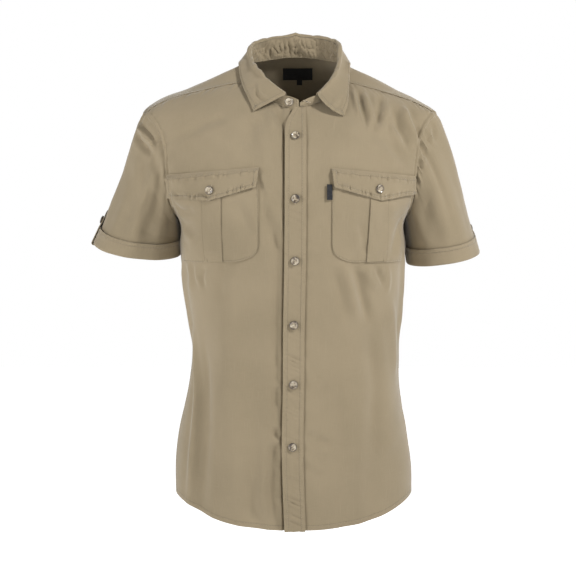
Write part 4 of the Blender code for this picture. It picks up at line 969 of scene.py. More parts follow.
def makeSleeve(side, word):
    arm = grid["armRows"]
    turns = np.concatenate([np.linspace(-math.pi, armTurnFront, arm + 1)[:-1],
                            np.linspace(armTurnFront, armTurnBack, grid["capColumns"] + 1)[:-1],
                            np.linspace(armTurnBack, math.pi, arm + 1)])
    start, torsoOut = clothAt(armhole(side, turns))
    top, bottom = ringAt(side, "top", turns), ringAt(side, "bottom", turns)
    leave = intoArmhole(side, turns)
    span = np.linalg.norm(top - start, axis=-1, keepdims=True)
    over = ((1 + np.cos(turns)) / 2)[:, None]
    sideways = unit(np.array([side, 0, sleeves["sag"]]))
    first = unit(over * leave + (1 - over) * sideways + sleeves["turnDown"] * unit(top - start))
    first, span = unit(runningMean(first, sleeves["smoothing"])), runningMean(span, sleeves["smoothing"])
    t = np.linspace(0, 1, grid["sleeveRows"] + 1)[:, None, None]
    points = bent(t, start, start + first * span * sleeves["startPull"],
                  top - unit(bottom - top) * span * sleeves["endPull"], top)
    steps = np.linspace(0, 1, grid["cuffRows"] + 1)[1:, None, None]
    points = np.concatenate([points, top + (bottom - top) * steps])
    share = np.concatenate([t[:, 0, 0], 1 + 0.2 * steps[:, 0, 0]])
    # the inner back of the sleeve lies in behind the body's side
    degrees, behind = np.degrees(turns), sleeves["squeezeTurn"]
    aside = sum(bell(degrees, turn, sleeves["squeezeWidth"]) for turn in (behind, behind - 360))[None]
    aside = aside * np.sin(math.pi * ramped(share, *sleeves["squeezeOver"]))[:, None]
    points[..., 0] -= side * sleeves["squeeze"] * aside
    guide = points - points.mean(axis=1, keepdims=True)
    out = gridNormals(points, guide, wrap=True)
    lift = sleeveLift(side, turns, share) + rippled(points, sleeves[side]["ripples"])
    # gathers where the sleeve is set into the armhole
    run = np.concatenate([[0], np.cumsum(np.linalg.norm(np.diff(start, axis=0), axis=1))])
    gather = sleeves["gather"] * wobble(run / sleeves["gatherLength"], 40 + side)[None] \
        * np.exp(-10 * share)[:, None] - sleeves["seamDip"] * bell(share, *sleeves["seamDipAt"])[:, None]
    lift = lift * np.clip(share * sleeves["liftGrowth"], 0, 1)[:, None] + sleeves["gatherShare"] * gather
    points = points + out * lift[..., None]
    closedRing(points)
    out = gridNormals(points, guide, wrap=True)
    out[0] = unit(torsoOut + out[0] * ((1 - np.cos(turns)) / 2)[:, None])
    points[0] -= torsoOut * sleeves["rootSink"]
    points[1] -= out[1] * sleeves["nextSink"]
    inside = points[0] - leave * sleeves["inside"] - torsoOut * 0.15
    points, out = closedRing(np.concatenate([inside[None], points]), np.concatenate([out[:1], out]))
    edge, along = stitching(points, (("bottom", 0.5),))
    sleeve = clothPiece("sleeve_%s_cloth" % word, points, out, -body["cloth"], 0, wrap=True, seam=(edge + 3, along))
    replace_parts(sleeve, "sleeve_" + word)
    makeCuff(side, word, points, out)
    makeTab(side, word, points, out, turns)


def makeCuff(side, word, points, out):
    rows = grid["cuffRows"]
    band, way = points[-1 - rows:], out[-1 - rows:]
    run = reach(band, "left")
    t = np.linspace(1, 0, rows + 1)[:, None]              # 1 at the open upper edge
    flare = 0.5 + sleeves["cuffFlare"] * t ** 2 * (0.55 + 0.45 * wobble(run / 34, 70 + side)) \
        + 0.25 * wobble(run / 9, 71 + side) * t
    closedRing(flare)
    band = band + way * flare[..., None]
    down, end = unit(points[-1] - points[-2]), way[-1]
    low = points[-1] + end * 0.5
    # the fold at the bottom goes round under the sleeve's end and back up inside
    turned = [low + down * below - end * inward for below, inward in sleeves["turnUnder"]]
    ways = [unit(end + down * 1.2), unit(down - end * 0.4), -end, -end]
    band, way = closedRing(np.concatenate([band, turned]), np.concatenate([way, ways]))
    cuff = clothPiece("cuff_%s_cloth" % word, band, way, 0, sleeves["cuff"], wrap=True, sewn=(("bottom", 5.0),))
    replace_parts(cuff, "cuff_" + word)


tabs = {"halfTurn": 11.8, "top": 27, "cover": 3.6, "cloth": 1.3, "inside": 2.4, "point": 9, "columns": 13,
        "climb": 26, "rows": 60, "buttonRow": 9, "tail": 20}
buttonSeats = {}


def makeTab(side, word, points, out, turns):
    count, rows = tabs["columns"], grid["cuffRows"]
    spread = np.linspace(-1, 1, count)
    wanted = math.radians(sleeves[side]["tab"]) + spread * math.radians(tabs["halfTurn"])

    def across(line):
        return lineAlong(wanted, turns, line)

    topEdge, bottomEdge = across(points[-1 - rows]), across(points[-1])
    topOut, lowOut = across(out[-1 - rows]), unit(across(out[-1]))
    down = unit(bottomEdge - topEdge)
    climb, climbOut = [np.stack([across(item[-1 - rows - k]) for k in range(tabs["climb"])])
                       for item in (points, out)]
    height = reach(climb, "bottom")

    def upTo(distance):
        # place and facing on the sleeve, some way above the cuff's edge
        distance = np.broadcast_to(distance, count)
        return [np.array([lineAlong(distance[c], height[:, c], grown[:, c]) for c in range(count)])
                for grown in (climb, climbOut)]

    cover = tabs["cover"]
    # from the pointed end down over the cuff, each with its height over the sleeve
    stations = [(*upTo(tabs["top"] - tabs["point"] * np.abs(spread) ** 1.3), 0.9), (*upTo(tabs["top"] * 0.6), 1.3),
                (*upTo(tabs["top"] * 0.28), 2.3), (topEdge, topOut, cover + 0.2),
                ((topEdge + bottomEdge) / 2, lowOut, cover), (bottomEdge, lowOut, cover - 0.3)]
    strip, facing = [p + unit(w) * h for p, w, h in stations], [unit(w) for _, w, _ in stations]
    radius = (cover + tabs["inside"]) / 2
    for angle in np.radians((30, 60, 90, 120, 150)):
        sideWay = lowOut * math.cos(angle) + down * math.sin(angle)
        strip.append(bottomEdge + down * 1.8 + lowOut * (cover - radius) + sideWay * radius)
        facing.append(sideWay)
    inner = bottomEdge - lowOut * (tabs["inside"] + 1.6)
    strip += [inner, inner - down * tabs["tail"]]
    facing += [-lowOut, -lowOut]
    strip, facing = [np.stack([smoothLine(item[:, c], tabs["rows"]) for c in range(count)], 1)
                     for item in (np.array(strip), np.array(facing))]
    facing = unit(facing)
    sewn = tuple((edge, 3.0) for edge in ("bottom", "left", "right"))
    tab = clothPiece("tab_%s_cloth" % word, strip, facing, 0, tabs["cloth"], sewn=sewn)
    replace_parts(tab, "tab_" + word)
    out = facing[tabs["buttonRow"], count // 2]
    buttonSeats["tab_" + word] = (strip[tabs["buttonRow"], count // 2] + out * (tabs["cloth"] + 0.2), out)


for side, word in sides:
    makeSleeve(side, word)
print("sleeves, cuffs and tabs made")


buttons = {"radius": 7, "thickness": 2.6, "hole": 0.75, "holeSpread": 1.55, "steps": 40, "lift": 0.6,
           "front": (-126.6, -225, -323, -426, -522, -622)}
holes = {"length": 16.5, "half": 1.5, "slit": 0.5, "high": 0.45, "standLength": 14, "bar": 1.3}


def makeHole(seat, out, spin=0.0, length=holes["length"]):
    # a sewn buttonhole: a flat oval of thread with a near-black strip along it, painted shade for the slit
    parts = []
    for name, half, run, high, finish in (("bar", holes["half"], length / 2, holes["high"], "thread"),
                                          ("slit", holes["slit"], length / 2 - holes["bar"], holes["high"] + 0.1,
                                           "label")):
        mesh = bmesh.new()
        bmesh.ops.scale(mesh, verts=rod(mesh, 24, 1, 1, 0.92), vec=(half, run, 2 * high))
        placed(mesh, seat, out, spin)
        parts.append(finished(name, mesh, finish))
    return parts


def spotOn(points, out, x, z):
    # place and facing of the grid's point nearest to x and z, seen from the front
    spot = np.argmin(np.hypot(points[..., 0] - x, points[..., 2] - z))
    return points.reshape(-1, 3)[spot], out.reshape(-1, 3)[spot]


def makePlacket():
    z = frontRows(float(heightOver(0.0, -body["neckFront"])))
    z = np.interp(np.linspace(0, 1, placket["rows"]), np.linspace(0, 1, len(z)), z)
    z[0] -= 1.5
    topLeft = table(("z", "x"), placket["topLeft"])
    rightX = fastening(z) + placket["half"]
    slanted = np.where(z > topLeft["z"][0], curveThrough(topLeft["z"], topLeft["x"], z), -99)
    leftX = np.maximum(fastening(z) - placket["half"], slanted)
    u = np.linspace(0, 1, placket["columns"])[None]
    x = leftX[:, None] + (rightX - leftX)[:, None] * u
    z = np.broadcast_to(z[:, None], x.shape).copy()
    points, out = onFront(x, z)
    run = reach(points, "bottom")
    # the free left edge stands off, most of all towards the hem; small cross puckers between the buttons
    free = bell(reach(points, "left"), 0, 7)
    stand = placket["stand"] + placket["hemStand"] * ramped(-z, placket["hemFrom"], 60) + 0.8 * wobble(run / 60, 81)
    cross = (0.3 - np.abs(wobble(run / 6.5 + u * 2.2, 82))) * arch(u) ** 0.7 \
        * placket["pucker"] * np.clip(np.abs(wobble(run / 45, 83)) * 1.6, 0.1, 1)
    edgeWave = placket["edgeWave"] * wobble(run / 8, 84) * (bell(reach(points, "right"), 0, 5) + free)
    points, out = raised(points, out, free * stand + cross + edgeWave)
    high = placket["under"] + placket["cloth"]
    parts = [clothPiece("band", points, out, placket["under"], high, sewn=(("left", 5.5), ("right", 5.5)))]
    for buttonZ in buttons["front"]:
        seat, way = spotOn(points, out, fastening(float(buttonZ)), buttonZ)
        parts += makeHole(seat + way * high, way)
    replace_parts(joined("placket_cloth", parts), "placket")


makePlacket()

# Pockets and flaps: places seen from the front are x and z, and those of outerY are y and z
pockets = {
    right: {"inner": -59.5, "top": ((-59, -185), (-207, -196)), "outerY": ((-62, -225), (-42, -330)),
            "floor": ((-59.5, -299), (-61.5, -307), (-66, -314), (-79, -321), (-127, -327), (-200, -331)),
            "pleat": ((-150, -143), (-119.4, -115)), "button": (-137, -212),
            "flapTop": ((-58.5, -176), (-207, -188)), "flapFloor": ((-62, -207), (-136.5, -228.5), (-203, -224))},
    left: {"inner": 57.6, "top": ((57, -186), (193, -199)), "outerY": ((-62, -225), (-49, -330)),
           "floor": ((57.6, -300), (59.5, -308), (64, -314.5), (73, -321), (111, -327), (192, -328)),
           "pleat": ((119.2, 111), (147, 143.5)), "button": (132.9, -210),
           "flapTop": ((56.8, -177), (193, -190)), "flapFloor": ((60, -207.5), (134.5, -228), (190, -217.5))},
    "lay": 0.4, "cloth": 1.1, "full": 1.3, "rows": 90, "pleatTop": -200, "pleatFloor": -340, "pleatLift": 1.5,
    "pleatRows": 80, "pleatColumns": 17, "pleatFrom": -196, "pleatTo": -326, "pleatUnder": 0.9,
    "flapLift": 3.4, "flapCloth": 1.6, "flapRoot": 8, "flapMargin": 3, "flapRows": 44, "flapCurl": 2.0,
    "flapEndCurl": 0.9, "flapWave": 1.2, "curlWidth": 9, "endCurlWidth": 6, "inset": (4, 14),
    "pleatWobble": ((0.5, 30, 31), (0.6, 26, 32)), "pleatOver": 1.35, "rollPush": 0.4, "stitch": 1.8,
}


def armholeX(side, z):
    y = body["armholeHalfDepth"] * np.sqrt(
        1 - np.clip((z - body["armholeMiddle"]) / body["armholeHalfHeight"], -1, 1) ** 2)
    half, n = section(z, "left" if side == left else "right"), section(z, "square")
    return half * (1 - (y / section(z, "front")) ** n) ** (1 / n)


def lineAt(points, x):
    points = np.array(sorted(points), float)
    return np.interp(x, points[:, 0], points[:, 1])


def smoothAt(points, x):
    points = np.array(sorted(points), float)
    return curveThrough(points[:, 0], points[:, 1], x)


def pocketPlace(side, z, u):
    # turn of the cloth from the pocket's inner edge (0) to its outer edge (1)
    (y0, z0), (y1, z1) = pockets[side]["outerY"]
    y = y0 + (y1 - y0) * (z - z0) / (z1 - z0)
    outer = side * np.arccos(np.clip(np.abs(y) / section(z, "front"), 0, 1) ** (section(z, "square") / 2))
    inner = turnAt(np.full(z.shape, float(pockets[side]["inner"])), z)
    return inner + (outer - inner) * u


def makePocket(side, word):
    plan = pockets[side]
    u = np.concatenate([np.linspace(0, 0.1, 14)[:-1], np.linspace(0.1, 1, 76)])

    def heightsOf(first, repeats, lineOf, name):
        # height of each column's end, closed in on from a first guess
        z = np.full(len(u), first)
        for _ in range(repeats):
            z = lineOf(plan[name], torso(pocketPlace(side, z, u), z)[:, 0])
        return z

    floorZ, topZ = heightsOf(-300.0, 6, smoothAt, "floor"), heightsOf(-190.0, 4, lineAt, "top")
    z = floorZ[None] + (topZ - floorZ)[None] * np.linspace(0, 1, pockets["rows"])[:, None]
    points, out = clothAt(torso(pocketPlace(side, z, np.broadcast_to(u, z.shape)), z))
    edge, run = stitching(points, tuple((name, pockets["stitch"]) for name in ("bottom", "left", "right")))
    # a little fullness inside the sewn edge, and puckers along it
    inset = ramped(edge, *pockets["inset"])
    full = pockets["full"] * np.sin(inset * math.pi / 2) + 0.5 * ripple(points, 26, 50 + side) * inset \
        + puckered("pocket", run, edge, side)
    points, out = raised(points, out, full + pockets["lay"])
    bag = clothPiece("bag", points, out, 0, pockets["cloth"], seam=(edge, run))
    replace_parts(joined("pocket_%s_cloth" % word, [bag, pleatStrip(side)]), "pocket_" + word)


def pleatStrip(side):
    # box pleat: a band over the pocket whose two long sides roll under
    z = np.linspace(pockets["pleatFrom"], pockets["pleatTo"], pockets["pleatRows"])
    share = (pockets["pleatTop"] - z) / (pockets["pleatTop"] - pockets["pleatFloor"])
    a, b = [top + (low - top) * share + depth * wobble(z / length, seed) for (top, low), (depth, length, seed)
            in zip(pockets[side]["pleat"], pockets["pleatWobble"])]
    floorZ = lineAt(pockets[side]["floor"], (a + b) / 2) + 0.8
    z = np.maximum(z, floorZ)
    count = pockets["pleatColumns"]
    shares = np.concatenate([[0.16, 0.06, 0.0], np.linspace(0, 1, count), [1.0, 0.94, 0.84]])
    heights = np.concatenate([[0, 0.1, 0.45], np.full(count, 1.0), [0.45, 0.1, 0]])
    push = np.concatenate([[0, -1, -1.2], np.zeros(count), [1.2, 1, 0]]) * pockets["rollPush"]
    push = push * np.sign(b[0] - a[0])
    x = a[:, None] + (b - a)[:, None] * shares[None] + push[None]
    z = np.broadcast_to(z[:, None], x.shape).copy()
    points, out = onFront(x, z)
    down = ramped(z, floorZ[:, None], 18) * ramped(lineAt(pockets[side]["flapFloor"], x) - z, -4, 10)
    puff = pockets["pleatLift"] * (1 + 0.25 * ripple(points, 30, 7)) + 0.8 * (1 - shares)[None]
    lift = pockets["lay"] + pockets["cloth"] + pockets["pleatOver"] + (0.15 + down * puff) * heights[None]
    points, out = raised(points, out, lift)
    # painted shade: both rolled sides start on the cloth's painted shade line, so they are darkened
    edge = cloth["stitchesAt"] + 0.9 + np.minimum(shares, 1 - shares)[None] * np.abs(b - a)[:, None]
    return clothPiece("pleat", points, out, -pockets["pleatUnder"], 0, seam=(edge, edge))


def makeFlap(side, word):
    plan = pockets[side]
    (innerTop, outerTop), (innerLow, tip, outerLow) = plan["flapTop"], plan["flapFloor"]
    middle = abs(tip[0] - innerLow[0]) / abs(outerLow[0] - innerLow[0])
    u = np.concatenate([np.linspace(0, middle, 90)[:-1], np.linspace(middle, 1, 80)])
    v = np.linspace(0, 1, pockets["flapRows"])[:, None]
    innerX = innerLow[0] + (innerTop[0] - innerLow[0]) * v
    outerX = outerLow[0] + (outerTop[0] - outerLow[0]) * v
    x = innerX + (outerX - innerX) * u[None]
    lowZ = lineAt(plan["flapFloor"], innerLow[0] + (outerLow[0] - innerLow[0]) * u)
    topZ = lineAt(plan["flapTop"], innerTop[0] + (outerTop[0] - innerTop[0]) * u)
    z = lowZ[None] + (topZ - lowZ)[None] * v
    x = np.sign(x) * np.minimum(np.abs(x), armholeX(side, z) - pockets["flapMargin"])
    points, out = onFront(x, z)
    run, fromTop, fromLow = [reach(points, name) for name in ("left", "top", "bottom")]
    fromEnds = fromEitherEnd(points)
    rise = eased(np.clip(fromTop / pockets["flapRoot"], 0, 1))
    pucker = puckered("flapEdge", run, fromLow, side) + puckered("flapTop", run, fromTop, side) \
        + pockets["flapWave"] * ripple(points, 17, 33 + side) * np.clip(fromEnds / 12, 0, 1)
    curl = pockets["flapCurl"] * bell(fromLow, 0, pockets["curlWidth"]) * (1 + 0.5 * wobble(run / 22, 64 + side)) \
        + pockets["flapEndCurl"] * bell(fromEnds, 0, pockets["endCurlWidth"]) * rise
    lift = pockets["lay"] + (pockets["flapLift"] - pockets["lay"]) * rise + pucker + curl * rise
    points, out = raised(points, out, lift)
    sewn = (("bottom", 5.0), ("left", 5.0), ("right", 5.0), ("top", 7.5))
    flap = clothPiece("flap", points, out, 0, pockets["flapCloth"], sewn=sewn)
    seat, way = spotOn(points, out, *plan["button"])
    seat = seat + way * (pockets["flapCloth"] - 0.2)
    buttonSeats["flap_" + word] = (seat, way)
    flap = joined("flap_%s_cloth" % word, [flap] + makeHole(seat + [0, 0, 1.5], way, -0.5))
    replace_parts(flap, "flap_" + word)


for side, word in sides:
    makePocket(side, word)
    makeFlap(side, word)
print("placket, pockets and flaps made")

# Collar: fold line and leaf edge by turn in degrees from the front
collar = {
    "fold": ((12, 15.6, 33.6, -56, -56), (30, 36, 44.5, -40, -46), (49, 54, 60, -22.5, -27),
             (66, 66, 66.5, -8, -11), (82, 71, 69.5, 5, 3), (96, 73.5, 71, 17, 17), (112, 70, 69, 27.5, 28),
             (130, 57, 60, 33.5, 34.5), (150, 37, 38, 39.5, 40), (180, 0, 0, 44, 44)),
    "edge": ((12, 68, 77.6, -77, -81), (30, 76, 83.5, -61, -68), (49, 84, 85.5, -43, -45), (66, 90, 87, -24, -26),
             (82, 92, 88, -7, -8), (96, 91, 88, 11, 11), (112, 84, 84, 32, 32), (130, 68, 68, 54, 54),
             (150, 40, 40, 70, 70), (180, 0, 0, 77, 77)),
    "foldFront": 76, "foldBack": 60, "reach": 168, "turns": 168, "roll": 3.6, "climb": 1.2, "cloth": 1.5,
    "leafClear": 3.2,
    "standRise": -0.8, "standEnds": (5, 6.5), "standEndTop": (-68, -72), "standBow": 2.2, "rightDrop": 17,
    "crumple": 6.5, "peak": 2.6, "peakAt": 1, "leftBow": 6.5, "bandDrop": 7, "endColumns": 17, "rows": 33,
    "crumples": ((-1, 9, 21), (-0.45, 4.6, 22)), "broad": (0.9, 26, 23), "rootSide": 2,
    "pull": 0.3, "stiffEnds": 9, "bowFrom": (0.25, 0.75), "bowWidth": 10, "ripples": ((1.0, 22, 11),),
    "calmEnds": 60,
    "holeAt": (20, -18), "buttonRow": 19, "buttonFromEnd": (-17, 1, 6),
    # creases on the leaf: three places as run from the right end (or back from the left) and distance to the
    # outer edge, then width and depth
    "creases": ((2, 26, 18, 16, 40, 22, 2.6, -1.5), (4, 31, 24, 22, 46, 28, 3, 1.3),
                (50, 4, 44, 14, 46, 26, 3, -0.9), (-4, 20, -20, 12, -34, 16, 3.4, -1.1),
                (-10, 32, -26, 22, -44, 26, 4, 1.2)),
}


def collarLines():
    fold = table(("turn", "right", "left", "zRight", "zLeft"), collar["fold"])
    edge = table(("turn", "right", "left", "yRight", "yLeft"), collar["edge"])
    fromBack = np.linspace(-collar["reach"], collar["reach"], collar["turns"] + 1)
    size = 180 - np.abs(fromBack)
    onRight = fromBack < 0
    side = np.where(onRight, -1.0, 1.0)

    def pick(rows, first, second):
        return np.where(onRight, curveThrough(rows["turn"], rows[first], size),
                        curveThrough(rows["turn"], rows[second], size))

    angle = np.radians(size)
    plan = necklinePlan(angle)
    plan[:, 0] *= side
    neck = clothAt(onShoulders(plan[:, 0], plan[:, 1]))[0]
    depth = np.where(np.cos(angle) > 0, collar["foldFront"], collar["foldBack"])
    line = np.stack([side * pick(fold, "right", "left"), -depth * np.cos(angle), pick(fold, "zRight", "zLeft")], -1)
    line[:, 2] += collar["peak"] * np.exp(-np.abs((line[:, 0] - collar["peakAt"]) / 4)) * (line[:, 1] > 0)
    ends = np.stack([side * pick(edge, "right", "left"), pick(edge, "yRight", "yLeft")], -1)
    rest, restOut = clothAt(onShoulders(ends[:, 0], ends[:, 1]))
    return neck, line, rest + restOut * collar["leafClear"]


def flatOut(line):
    run = np.gradient(line, axis=0)
    return unit(np.stack([-run[:, 1], run[:, 0], np.zeros(len(line))], -1))


def makeLeaf(root, rootOut, edge):
    # rolls over at the fold, then falls to its edge on the shoulders
    centre = root + rootOut * (collar["roll"] - collar["cloth"]) + [0, 0, collar["climb"]]
    up = np.array([0, 0, 1.0])
    rows = [root - rootOut * collar["cloth"] + [0, 0, 0.4]]
    rows += [centre + (rootOut * math.cos(angle) + up * math.sin(angle)) * collar["roll"]
             for angle in np.linspace(math.pi, 0, 11)]
    start = rows[-1]
    size = np.linalg.norm(edge - start, axis=-1, keepdims=True)
    turns = np.arange(len(root))
    straight = bell(np.minimum(turns, turns[::-1]), 0, collar["stiffEnds"])[:, None]
    p1, p2 = start - up * size * collar["pull"], edge + unit(rootOut * 0.4 + up) * size * collar["pull"]
    stiff = rootOut * collar["rootSide"]
    p1 = p1 + (start + (edge - start) / 3 + stiff - p1) * straight
    p2 = p2 + (edge + (start - edge) / 3 + stiff - p2) * straight
    rows += [bent(t, start, p1, p2, edge) for t in np.linspace(0, 1, 31)[1:]]
    points = np.array(rows)
    t = np.linspace(0, 1, len(rows))[:, None]
    bow = collar["leftBow"] * np.sin(math.pi * ramped(t, *collar["bowFrom"])) \
        * bell((len(root) - 1 - turns)[None], 0, collar["bowWidth"])
    points = points + unit(points[:, -1:] - points[:, -4:-3]) * bow[..., None]
    out = np.cross(np.gradient(points, axis=1), np.gradient(points, axis=0))
    out = unit(out) * np.sign(np.sum(out[-5:] * rootOut))
    run, fromEdge = reach(points, "left"), reach(points, "top")
    wave = rippled(points, collar["ripples"]) + puckered("leafEdge", run, fromEdge) \
        + puckered("leafFold", run, t) * np.clip(fromEitherEnd(points) / collar["calmEnds"], 0.15, 1) \
        + creasesOver(run, fromEdge, collar["creases"], fromEnd=run.max())
    points, out = raised(points, out, wave * np.clip(fromEdge / 3, 0.4, 1))
    sewn = tuple((name, 5.0) for name in ("top", "left", "right"))
    leaf = clothPiece("collar_fall_cloth", points, out, -collar["cloth"], 0, sewn=sewn)
    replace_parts(leaf, "collar_fall")


def standEnd(neckEnd, rootEnd, endX, endTop, drop):
    # lower and upper line of the stand from its last place on the neck to its free end
    share = np.linspace(0, 1, collar["endColumns"])[1:]
    x = neckEnd[0] + (endX - neckEnd[0]) * share
    low = onShoulders(x, -body["neckFront"] * np.sqrt(1 - (x / body["neckHalf"]) ** 2))
    low[:, 2] -= drop * np.clip(share * 1.2, 0, 1) ** 1.5
    high = np.stack([rootEnd[0] + (endX - rootEnd[0]) * share, np.full(len(x), -collar["foldFront"] * 0.985),
                     rootEnd[2] + (endTop - rootEnd[2]) * share ** 1.4], -1)
    return low, high


def makeStand(neck, root):
    # the open right end hangs down under the placket
    (rightLow, rightHigh), (leftLow, leftHigh) = [
        standEnd(neck[index], root[index], collar["standEnds"][index], collar["standEndTop"][index], drop)
        for index, drop in ((0, collar["rightDrop"]), (-1, 0))]
    low = np.concatenate([rightLow[::-1], neck, leftLow]) + [0, 0, collar["standRise"]]
    low[:, 2] -= collar["bandDrop"] * ramped(low[:, 1], 15, 40)
    high = np.concatenate([rightHigh[::-1], root, leftHigh])
    low, high = [lineAlong(np.arange(0, len(line) - 0.5, 0.5), np.arange(len(line)), line) for line in (low, high)]
    lowOut, highOut = flatOut(low), flatOut(high)
    t = np.linspace(0, 1, collar["rows"])[:, None, None]
    points = low + (high - low) * t + lowOut * collar["standBow"] * np.sin(math.pi * t)
    out = unit(lowOut + (highOut - lowOut) * t)
    run = reach(points, "left")
    # the band is crumpled round the back of the neck
    t = t[..., 0]
    flat = np.stack([run + 24 * t, 20 * t + 0 * run, 0 * run], -1)
    broad, size, seed = collar["broad"]
    crumple = -0.2 + broad * ripple(flat, size, seed) \
        + sum(depth * np.abs(ripple(flat, small, first)) for depth, small, first in collar["crumples"])
    crumple = collar["crumple"] * crumple * arch(t, 0.03) ** 0.6 \
        * np.clip(fromEitherEnd(points) / collar["calmEnds"] - 0.4, 0.06, 1)
    points, out = raised(points, out, crumple + 1.2 * bell(run, 0, 26))
    sewn = (("bottom", 2.0), ("left", 3.0), ("right", 3.0))
    stand = clothPiece("stand", points, out, -collar["cloth"], 0, sewn=sewn)
    row, column = collar["holeAt"]
    hole = makeHole(points[row, column], out[row, column], math.pi / 2 - 0.3, holes["standLength"])
    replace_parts(joined("collar_stand_cloth", [stand] + hole), "collar_stand")
    row = collar["buttonRow"]
    near = np.argmin(np.linalg.norm(points[row] - (points[row, 0] + collar["buttonFromEnd"]), axis=-1))
    buttonSeats["stand"] = (points[row, near], out[row, near])


neck, foldLine, leafEdge = collarLines()
root = foldLine - [0, 0, collar["roll"] + collar["climb"]]
makeLeaf(root, flatOut(root), leafEdge)
makeStand(neck, root)
print("collar made")


# Buttons

def buttonMesh():
    # half of its section, from the middle of the back round the rim to the dished middle of the front
    r, h = buttons["radius"], buttons["thickness"]
    profile = ((0, 0), (r - 1.6, 0), (r - 0.7, 0.3), (r - 0.15, 0.9), (r, 1.4), (r - 0.12, h - 0.5),
               (r - 0.5, h - 0.12), (r - 1.0, h), (r - 1.6, h - 0.12), (r - 2.3, h - 0.65), (r - 3.2, h - 0.85),
               (0, h - 0.9))
    mesh = bmesh.new()
    line = [mesh.verts.new((radius, 0, height)) for radius, height in profile]
    edges = [mesh.edges.new(pair) for pair in zip(line[:-1], line[1:])]
    bmesh.ops.spin(mesh, geom=line + edges, cent=(0, 0, 0), axis=(0, 0, 1), angle=2 * math.pi,
                   steps=buttons["steps"], use_merge=True)
    bmesh.ops.remove_doubles(mesh, verts=mesh.verts[:], dist=1e-4)
    bmesh.ops.recalc_face_normals(mesh, faces=mesh.faces[:])
    return mesh


def pierced():
    # one button with its four holes, kept as a mesh in millimetres
    disc = linked("disc", buttonMesh())
    mesh = bmesh.new()
    for x, y in ((1, 1), (1, -1), (-1, 1), (-1, -1)):
        bmesh.ops.translate(mesh, verts=rod(mesh, 12, buttons["hole"], 8),
                            vec=(x * buttons["holeSpread"], y * buttons["holeSpread"], 1))
    drill = linked("drill", mesh)
    cut = disc.modifiers.new("holes", "BOOLEAN")
    cut.operation, cut.object, cut.solver = "DIFFERENCE", drill, "EXACT"
    bpy.context.view_layer.update()
    shape = bpy.data.meshes.new_from_object(disc.evaluated_get(bpy.context.evaluated_depsgraph_get()))
    bpy.data.objects.remove(disc)
    bpy.data.objects.remove(drill)
    return shape


def makeButton(name, seat, out, spin):
    seat = np.array(seat) + np.array(out) * buttons["lift"]
    mesh = bmesh.new()
    mesh.from_mesh(buttonShape)
    rim = mesh.verts.layers.float.new("rim")
    for vertex in mesh.verts:
        vertex[rim] = math.hypot(vertex.co.x, vertex.co.y) / buttons["radius"]
    placed(mesh, seat, out, spin)
    button = finished("disc_" + name, mesh, "button")
    # sewing thread: two bars across the holes and a shank under them
    mesh = bmesh.new()
    for y in (1, -1):
        bar = rod(mesh, 10, 0.42, 2 * buttons["holeSpread"] + 0.5)
        bmesh.ops.scale(mesh, verts=bar, vec=(1, 1.5, 1))
        bmesh.ops.rotate(mesh, verts=bar, matrix=Matrix.Rotation(math.pi / 2, 3, "Y"))
        bmesh.ops.translate(mesh, verts=bar, vec=(0, y * buttons["holeSpread"], buttons["thickness"] - 0.55))
    bmesh.ops.translate(mesh, verts=rod(mesh, 12, 1.9, 2.0), vec=(0, 0, 0.2))
    placed(mesh, seat, out, spin)
    thread = finished("thread_" + name, mesh, "thread")
    piece = joined("button_%s_made" % name, [button, thread])
    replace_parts(piece, "button_" + name)
    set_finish(piece, "buttons")


buttonShape = pierced()
for number, z in enumerate(buttons["front"], 1):
    place, out = [line[0] for line in onFront(fastening(np.array([float(z)])), np.array([float(z)]))]
    buttonSeats[str(number)] = (place + out * (placket["under"] + placket["cloth"]), out)
dice = random.Random(4)
for name, (seat, out) in buttonSeats.items():
    makeButton(name, seat, out, dice.uniform(-0.4, 0.4))
print("buttons made")

# Labels, bare
labels = {"neck": {"width": 50, "top": -11.5, "bottom": -30.5, "middle": 4, "cloth": 0.7, "under": 2.5},
          "size": {"width": 9, "top": -26.5, "bottom": -38.5, "middle": 7, "cloth": 0.6, "under": 3.6},
          "tag": {"top": -203, "bottom": -227, "inner": 49, "outer": 57.6, "lift": 2.2, "free": 1.2, "cloth": 0.9}}


def insideStrip(name, node, plan):
    x, z = np.meshgrid(plan["middle"] + np.linspace(-0.5, 0.5, 31) * plan["width"],
                       np.linspace(plan["bottom"], plan["top"], 15))
    points, out = clothAt(torso(math.pi - turnAt(x, z), z))
    points, out = raised(points, out, -(plan["under"] + 0.35 * ripple(points, 14, 77)))
    piece = clothPiece(name, points, out, -plan["cloth"], 0, finish="label", sewn=(("left", 2), ("right", 2)))
    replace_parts(piece, node)
    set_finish(piece, "label")


def makeTag():
    plan = labels["tag"]
    x, z = np.meshgrid(np.linspace(plan["inner"], plan["outer"], 12), np.linspace(plan["bottom"], plan["top"], 22))
    free = (plan["outer"] - x) / (plan["outer"] - plan["inner"])
    points, out = raised(*onFront(x, z), plan["lift"] + plan["free"] * free ** 2)
    piece = clothPiece("pocket_tag_cloth", points, out, 0, plan["cloth"], finish="tag")
    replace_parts(piece, "pocket_tag")
    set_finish(piece, "tag")


insideStrip("neck_label_cloth", "neck_label", labels["neck"])
insideStrip("size_tab_cloth", "size_tab", labels["size"])
makeTag()
print("labels made")

